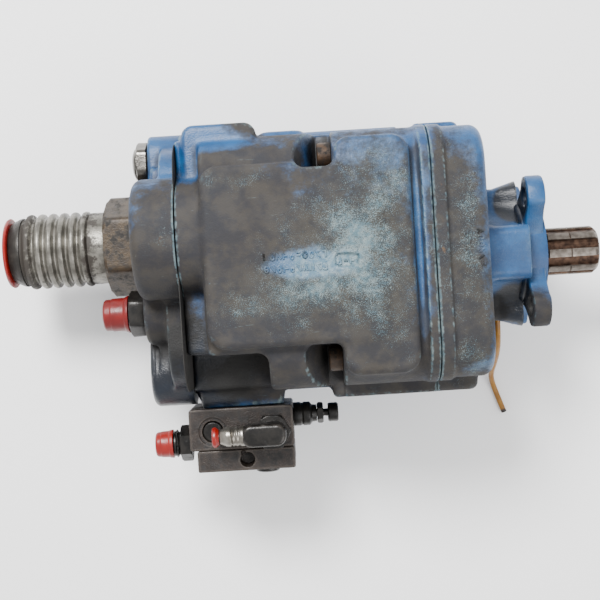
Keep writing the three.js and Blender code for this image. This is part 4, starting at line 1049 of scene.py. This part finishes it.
def make_hose_tail():
    """Union hexagon and a ribbed tail: each rib climbs steeply on its hexagon side and slopes away to
    a round valley; the tip is a plain dark nose with a plug in its mouth."""
    centre = y0, z0 = REAR["port_y"], REAR["port_z"]
    h, at = HOSE, REAR["end"]
    across, neck = h["hex"], h["hex_from"]
    nut = [
        (at - 0.3, h["bore"] - 0.4), (at - 0.3, 36), (at - 2, 38.2, across), (neck + 2.6, 38.2, across),
        (neck, 34.5, across), (neck, 24), (at - 6, 20),
    ]
    turned_fitting(
        "hose_union_nut", "x", nut[::-1], centre, (), "hex_iron", "cast_alloy",
        bevel=0.5, columns=120, loop=True,
    )
    ribs_from, crest = neck - h["collar"], h["rib"]
    outside = [(at + 12, 16), (at + 12, 19.6), (neck + 1, 19.6), (neck + 1, 27.5), (ribs_from, 27.5)]
    for i in range(h["ribs"]):
        x = ribs_from - i * h["pitch"]
        outside += [
            (x - 0.4, crest - 3.4), (x - 1.6, crest - 0.5), (x - 3.4, crest), (x - 5.2, crest - 0.6),
            (x - 6.6, crest - 3.2), (x - h["pitch"] + 0.6, crest - 4.0),
        ]
    tail_end = ribs_from - h["ribs"] * h["pitch"]
    outside += [(tail_end, 25.5), (tail_end - 1, 25)]
    inside = [(tail_end - 1, 16), (at + 12, 16)]
    tail = turned("x", (outside + inside)[::-1][1:], y0, z0, bevel=0.35, columns=120, loop=True)
    piece(
        "ribbed_hose_tail", tail, MATERIALS["cast_alloy"], "housing", ["hose_tail"],
        marks=dirt_on(tail, [(-336, y0, z0 + 28, 6, 60, 60, 0.3), (-386, y0, z0, 8, 60, 60, 0.4)]),
    )
    e = h["end"]
    tip = [(tail_end - 0.6, 16), (tail_end - 0.6, 26.6), (-391, 26.2), (e + 1, 23.4), (e, 22.4), (e, 16)]
    turned_fitting(
        "hose_tail_nose", "x", tip[::-1], centre, (), "dark_alloy", "cast_alloy",
        bevel=0.6, columns=96, loop=True,
    )
    plug = [
        (e + 21, 0.5), (e + 20, 12), (e + 22, 14), (e + 22, 15.6), (e - 0.3, 15.6), (e - 0.3, 26),
        (e - 1.2, 27), (e - 3, 26), (e - 3.3, 22), (e - 2.4, 14), (e + 17, 11.6), (e + 18, 0.5),
    ]
    turned_fitting(
        "hose_tail_end_plug", "x", plug[::-1], centre, ["hose_tail_plug"], "bright_red", "red_plastic",
        body="hose_tail_plug", columns=96,
    )


def make_pressure_port():
    """A black union with a threaded spigot, whose crests and roots alternate, and a soft red cap over it."""
    y0, z0, at = PRESSURE["y"], PRESSURE["z"], REAR["end"]
    thread = [(at - 12.4 - 1.3 * i, 10.2 - 0.7 * (i % 2)) for i in range(11)]
    rows = [
        (at + 12, 5), (at + 12, 8.6), (at - 0.3, 8.6), (at - 0.3, 16.8, 30), (at - 11, 17.2, 30),
        (at - 12, 15.4, 30), (at - 12, 10.4), *thread, (at - 28, 9.2), (at - 28, 5),
    ]
    turned_fitting(
        "pressure_union", "x", rows[::-1], (y0, z0), ["pressure_adapter"], bevel=0.3, loop=True,
    )
    make_cap("pressure_port_cap", at - 32, at - 12.8, 13.2, 10.4, y0, z0, "red", "pressure_cap", flare=0.8)


def make_cap(name, start, end, outer, inner, y0, z0, material, node_name, flare):
    """A push-on plastic cap: a domed end, a wall that widens in steps to a rolled rim, open inside."""
    long = end - start
    rim = outer + flare
    rows = [
        (start, outer * 0.45), (start + 0.3, outer * 0.78), (start + 1.6, outer * 0.88),
        (start + 0.3 * long, outer * 0.9), (start + 0.34 * long, outer * 0.93), (end - 3.4, outer * 0.955),
        (end - 2.8, outer), (end - 0.4, rim), (end, rim - 0.5), (end, inner), (start + 2, inner),
        (start + 2, inner * 0.4),
    ]
    made = turned("x", rows, y0, z0, bevel=0.5)
    grime = dirt_on(made, [(end, y0, z0, 3, 20, 20, 0.35), (start, y0, z0 - outer, 9, 20, 9, 0.4)])
    piece(name, made, MATERIALS[material], node_name, [node_name], marks=grime)


VALVE = dict(left=-268, right=-190.5, low=-149, high=-102, back=-30, front=25, notch=5, notch_y=-133)
SPLIT = 0.15  # half of the dark line between the control block's halves
ELBOW = dict(x=-206, y=-121, z=43, radius=8.3, hexagon=24)
SOCKET = dict(x=-250.5, y=-119, radius=7.4, seat=10.4)
TAPPED_HOLE = dict(x=-226, y=-141, radius=5.4, depth=9)
PIN_HOLE = dict(x=-229, y=-135.6, radius=1.7, depth=5)
BOTTOM_PLUG = (0, -212)  # z and x of its line, which runs along Y
LEFT_FITTING = dict(y=-129, z=0, hexagon=24)
ADJUSTER = dict(y=-112, nut=14)


def block_between(x, y, z, left, low, high, corner):
    """A bar as long and as deep as the control block, between two heights."""
    v = VALVE
    return carried(rounded_rect(x, y, left, v["right"], low, high, corner), z, v["back"], v["front"], 0.9)


def sunk_hole(x, y, z, at_x, at_y, radius, depth):
    """A round hole sunk into the control block's near face."""
    return carried(disc(x, y, at_x, at_y, radius), z, VALVE["front"] - depth, 60, 0.2)


def upper_block_shape(x, y, z):
    """The control block's upper half, less its plug's hole and the seat faced round it."""
    v, s = VALVE, SOCKET
    block = block_between(x, y, z, v["left"], v["notch_y"] + SPLIT, v["high"], 2.2)
    plug_hole = sunk_hole(x, y, z, s["x"], s["y"], s["radius"] + 0.5, 8)
    face = sunk_hole(x, y, z, s["x"], s["y"], s["seat"], 0.7)
    return cut(0.6, block, plug_hole, face)


def lower_block_shape(x, y, z):
    """The control block's lower half, set in at the left, less a tapped hole and a pin hole."""
    v = VALVE
    block = block_between(x, y, z, v["left"] + v["notch"], v["low"], v["notch_y"] - SPLIT, 1.6)
    holes = [sunk_hole(x, y, z, h["x"], h["y"], h["radius"], h["depth"]) for h in (TAPPED_HOLE, PIN_HOLE)]
    return cut(0.6, block, *holes)


def closed_marks(edge, hollow, share=1.0):
    """Edge and hollow marks for a knitted surface, with none at its two poles."""
    return {"edge": np.append(edge.ravel() * share, [0, 0]), "hollow": np.append(hollow.ravel(), [0, 0])}


def make_block_half(name, shape, y0, low, high, places, stands_for=()):
    """A machined block: radii about a line through its middle, closed at both ends."""
    x = spaced(low + EASE, high - EASE, 170, [low, high, *places], 1.2, 5.0)[:, None]
    turn = np.arange(400) * 2 * np.pi / 400
    angle = (turn - 0.32 * np.sin(turn))[None, :]
    rings = around("x", x, found_radius(shape, x, angle, y0, -2.0, 60.0), angle, y0, -2.0)
    marks = closed_marks(*cast_marks(shape, rings))
    piece(name, knit(rings), MATERIALS["oily_iron"], "housing", stands_for, marks=marks)


def make_control_block():
    """The control block's two halves, then the plug sunk in its face and the plug below it, turned."""
    v = VALVE
    upper, lower = (v["notch_y"] + v["high"]) / 2, (v["notch_y"] + v["low"]) / 2
    left, right, lower_left = v["left"], v["right"], v["left"] + v["notch"]
    make_block_half(
        "control_block_upper", upper_block_shape, upper, left, right, [-258, -243], ["control_block"],
    )
    make_block_half("control_block_lower", lower_block_shape, lower, lower_left, right, [-231.5, -220.5])
    top, s = v["front"], SOCKET
    socket = [
        (top - 7.5, 1), (top - 7.5, s["radius"]), (top - 1.2, s["radius"]), (top - 0.5, s["radius"] - 0.8),
        (top - 0.5, 5.0), (top - 1.0, 4.4, 7), (top - 5, 4.1, 7), (top - 5.2, 1),
    ]
    turned_fitting(
        "socket_screw_plug", "z", socket, (s["x"], s["y"]), ["socket_plug"], bevel=0.25,
    )
    low = v["low"]
    plug = [
        (low - 5, 2), (low - 5, 7.4), (low - 4, 9.1), (low - 0.4, 9.3), (low - 0.4, 7), (low + 8, 7),
        (low + 8, 1),
    ]
    turned_fitting("bottom_screw_plug", "y", plug, BOTTOM_PLUG, ["bottom_plug"])
    ring = [(low - 0.1, 6), (low - 1.0, 9.9), (low - 0.2, 10.4), (low + 0.4, 10.2), (low + 0.4, 6)]
    turned_fitting("bottom_plug_ring", "y", ring, BOTTOM_PLUG, finish="rubber", bevel=0.3)


def make_adjuster():
    """A grooved round housing, a hexagon lock nut and the screw, whose crests and roots alternate up to
    its knob: three profiles turned about one line."""
    right, nut_across = VALVE["right"] + 0.3, ADJUSTER["nut"]
    centre = (ADJUSTER["y"], 0)
    body = [
        (right - 5, 3.3), (right - 5, 4.8), (right, 4.8), (right, 9), (right + 5.4, 9), (right + 6, 8.4),
        (right + 7, 8.4), (right + 7.6, 9), (-178, 9), (-177, 8), (-176, 6.6), (-172.5, 6.4), (-172.5, 3.3),
    ]
    turned_fitting("adjuster_housing", "x", body, centre, ["adjuster_body"], bevel=0.35, loop=True)
    nut = [
        (-172.2, 3.4), (-172.2, 7.0, nut_across), (-171.4, 8, nut_across), (-168.4, 8, nut_across),
        (-167.5, 7.1, nut_across), (-167.5, 3.4),
    ]
    turned_fitting("adjuster_nut", "x", nut, centre, ["adjuster_lock_nut"], bevel=0.2, loop=True)
    thread = [(-190 + 0.75 * i, 3.0 - 0.3 * (i % 2)) for i in range(32)]
    knob = [(-164, 3), (-164, 6.4), (-163, 7.2), (-157, 7.2), (-156, 6.2), (-156, 0.5)]
    turned_fitting(
        "adjuster_spindle", "x", [(-194.5, 0.5), (-194.5, 2.8), *thread, *knob], centre, ["adjuster_screw"],
        body="adjuster_screw", bevel=0.2,
    )


def elbow_body_shape(x, y, z):
    """A round riser out of the block's face, joined by a fillet to an arm as thick as it."""
    e, half = ELBOW, ELBOW["radius"]
    riser = carried(disc(x, y, e["x"], e["y"], half), z, VALVE["front"] + 2, e["z"], 1)
    outline = rounded_rect(x, y, e["x"] - 22, e["x"] + 10.3, e["y"] - half, e["y"] + half, 7)
    arm = carried(outline, z, e["z"] - half, e["z"] + half, 3.4)
    return grown(3, riser, arm)


def make_elbow():
    """A forged elbow on a hexagon nut, with a ringed bright spigot and a small red cap. The elbow's
    radius about its riser is walked in from outside; the rest are turned profiles."""
    e, top = ELBOW, VALVE["front"]
    height = spaced(top + 2 + EASE, e["z"] + e["radius"] - EASE, 70, [e["z"] + 8, e["z"] - 8], 2, 3)[:, None]
    angle = (np.arange(200) * 2 * np.pi / 200)[None, :]
    radius = np.full(np.broadcast(height, angle).shape, 40.0)
    for _ in range(90):
        x, y = e["x"] + radius * np.sin(angle), e["y"] + radius * np.cos(angle)
        radius = np.maximum(radius - 0.9 * elbow_body_shape(x, y, height), 2.0)
    rings = around("z", height, radius, angle, e["x"], e["y"])
    marks = closed_marks(*cast_marks(elbow_body_shape, rings), share=0.6)
    piece(
        "elbow_body", knit(rings), MATERIALS["black_steel"], "housing", ["elbow_fitting"],
        marks=marks,
    )
    nut_across = e["hexagon"]
    nut = [
        (top - 8, 1), (top - 8, 7), (top + 0.3, 7), (top + 0.3, 13.2, nut_across),
        (top + 1.2, 14, nut_across), (top + 6.8, 14, nut_across), (top + 8, 12.4, nut_across), (top + 8, 1),
    ]
    turned_fitting("elbow_nut", "z", nut, (e["x"], e["y"]), bevel=0.3)
    x, arm_line = e["x"], (e["y"], e["z"])
    rings_out = [(x - 22.4 - 1.5 * i, 7.4 - 0.9 * (i % 2)) for i in range(5)]
    spigot = [
        (x - 20, 5), (x - 20, 7.5), *rings_out, (x - 29, 6.2), (x - 30.2, 7.4), (x - 33, 7.2),
        (x - 37.8, 5.2), (x - 38.2, 4.4), (x - 41, 4.4), (x - 41, 1),
    ]
    turned_fitting("elbow_spigot", "x", spigot[::-1], arm_line, finish="thread_steel", bevel=0.25)
    cap = [
        (x - 43.5, 2), (x - 43.5, 6.4), (x - 42.6, 7.3), (x - 40.6, 7.3), (x - 39.8, 6.4), (x - 38.6, 5.4),
        (x - 38.6, 4.7), (x - 41.2, 4.6), (x - 41.2, 2),
    ]
    turned_fitting(
        "elbow_port_cap", "x", cap, arm_line, ["elbow_cap"], "bright_red", "red_plastic",
        body="elbow_cap", bevel=0.3,
    )


def make_left_fitting():
    """Hexagon union, collar with a wire loop round it, and an orange-red tapered cap."""
    y0, z0, left = LEFT_FITTING["y"], LEFT_FITTING["z"], VALVE["left"]
    across = LEFT_FITTING["hexagon"]
    rows = [
        (left + 8, 1), (left + 8, 7), (left - 0.3, 7), (left - 0.3, 13.2, across), (left - 1.2, 14, across),
        (left - 7.8, 14, across), (left - 9, 12.6, across), (left - 9, 9.8), (left - 11, 8.2),
        (left - 12, 8.2), (left - 12.4, 9.6), (left - 14, 9.6), (left - 14, 7.5), (left - 26, 7.3),
        (left - 26, 1),
    ]
    turned_fitting("control_union", "x", rows[::-1], (y0, z0), ["control_adapter"], bevel=0.3)
    make_cap(
        "control_port_cap", left - 28.5, left - 14.6, 10.6, 7.8, y0, z0, "bright_red", "control_adapter_cap",
        flare=0.3,
    )
    gap, loop_radius = 0.15, 9.9
    turn = np.linspace(gap, 2 * np.pi - gap, 60)
    side, up = y0 + loop_radius * np.sin(turn), z0 + loop_radius * np.cos(turn)
    loop = np.stack([left - 11.5 + 0.5 * np.cos(2 * turn), side, up], 1)
    piece("retaining_wire", swept_tube(loop, 0.7, 8), MATERIALS["black_steel"], "housing")


def make_cover_bolts():
    """Socket-head bolts deep in the pockets: round heads with turned edges and a hexagon socket."""
    at = BOLT["at"]
    rows = [
        (at - 5, 1), (at - 5.2, 5.4, 9.4), (at - 9.4, 5.6, 9.6), (at - 10, 6.4), (at - 10, 8.2),
        (at - 9.2, 9), (at - 0.4, 9), (at - 0.4, 5), (-63, 5), (-63, 1),
    ]
    for k, centre in enumerate(BOLT["rows"], 1):
        turned_fitting(
            f"cover_bolt_body_{k}", "x", rows, centre, [f"cover_bolt_{k}"], finish="rusty_steel", bevel=0.3,
        )


# ---------- Generic raised marks ----------
CELL_PITCH = 4.4
BEAD_RADIUS = 0.75
# Each stroke is a list of (across, up) points in a cell 3.4 wide and 5 tall; a ring also has a radius.
STROKES = [
    [(0.4, 0.4), (0.4, 4.6)], [(1.7, 2.5, 1.6)], [(0.4, 4.4), (3.0, 0.6)], [(0.4, 2.5), (3.0, 2.5)],
    [(0.5, 0.5), (1.7, 4.5), (2.9, 0.5)], [(1.7, 1.6, 1.1)], [(0.4, 4.5), (2.9, 4.5)],
    [(2.6, 0.5), (2.6, 4.5)],
]


def stroke_route(stroke, steps=14):
    """Points along a stroke: a broken line, or, from one (across, up, radius), a ring."""
    if len(stroke[0]) == 3:
        across, up, radius = stroke[0]
        turn = np.linspace(0.1, 2 * np.pi - 0.1, steps)
        return np.stack([across + 0.8 * radius * np.cos(turn), up + 1.3 * radius * np.sin(turn)], 1)
    points = np.array(stroke, float)
    share = np.linspace(0, len(points) - 1, 9)
    return np.stack([np.interp(share, np.arange(len(points)), points[:, i]) for i in (0, 1)], 1)


def row_of_marks(start, along, up, level, order):
    """Rounded beads laid on a surface at height `level`: two strokes in each cell of a row."""
    along, up = np.array(along), np.array(up)
    beads = []
    for cell, choice in enumerate(order):
        for pick in (choice, choice * 3 + cell):
            flat = stroke_route(STROKES[pick % len(STROKES)])
            place = np.array(start) + along * (CELL_PITCH * cell + flat[:, :1]) + up * flat[:, 1:]
            route = np.concatenate([place, np.full((len(place), 1), level)], 1)
            beads.append(swept_tube(route, BEAD_RADIUS, 8, (0.0, 0.0, 1.0)))
    return beads


def make_raised_marks():
    """Rows of beads on the plate, in its stamped recess and on the cover: round tubes along strokes."""
    near, cover_near = PLATE["near"] + 0.3, BODY["near"] + 3.4
    plate = row_of_marks((-203, 2.5), (1, 0), (0, 1), near, [0, 4, 2, 0, 5, 3, 1, 6, 2, 7])
    plate += row_of_marks((-203, -6), (1, 0), (0, 1), near, [1, 2, 5, 0, 3, 7, 4, 0, 6, 1])
    plate += row_of_marks((-158, -3), (1, 0), (0, 1), near - 1.2, [5, 1, 3, 0])
    cover = row_of_marks((-57, 16), (0, -1), (1, 0), cover_near, [4, 0, 1, 5, 2, 3])
    cover += row_of_marks((-66, 14), (0, -1), (1, 0), cover_near, [1, 6, 2, 1, 0])
    for name, beads in (("plate_marks", plate), ("cover_marks", cover)):
        knitted = merged(beads)
        edge = np.full(len(knitted[0]), 0.55)
        marks = wear_and_shade_marks(knitted[0], edge, 0 * edge)
        piece(name, knitted, MATERIALS["paint"], "housing", marks=marks)


# ---------- Tie wire ----------
# Points that the wire's centre line passes through, in the pump frame.
WIRE_ROUTE = [
    (-28, -38, -12.9), (-28, -46, -12.9), (-27.8, -54, -13.6), (-27.4, -62, -17), (-26.8, -70, -24),
    (-26.2, -77, -34), (-25.6, -83, -46), (-25, -89, -60), (-24.2, -94, -73), (-23, -99, -84),
    (-21, -105, -91.5), (-18.5, -112, -94.4), (-15.5, -121, -94.6), (-12, -131, -94.6),
]
WIRE_RADIUS = 2.25


def make_tie_wire():
    """A stiff wire: a round tube carried along a smooth curve through its route's points."""
    route = spline_through(WIRE_ROUTE, 6)
    knitted = swept_tube(route, WIRE_RADIUS, 14)
    marks = dirt_on(knitted, [(-12, -131, -94, 4, 4, 5, 1.0), (-28, -40, -13, 8, 8, 8, 0.6)])
    wire = piece(
        "yellow_tie_wire", knitted, MATERIALS["yellow"], "housing", ["tie_wire"],
        marks=marks,
    )


make_tie_wire()
make_castings()
make_flange_ears()
make_flange_face()
make_shaft()
make_bias_plug()
make_hose_tail()
make_pressure_port()
make_control_block()
make_adjuster()
make_elbow()
make_left_fitting()
make_cover_bolts()
make_raised_marks()
make_studio()
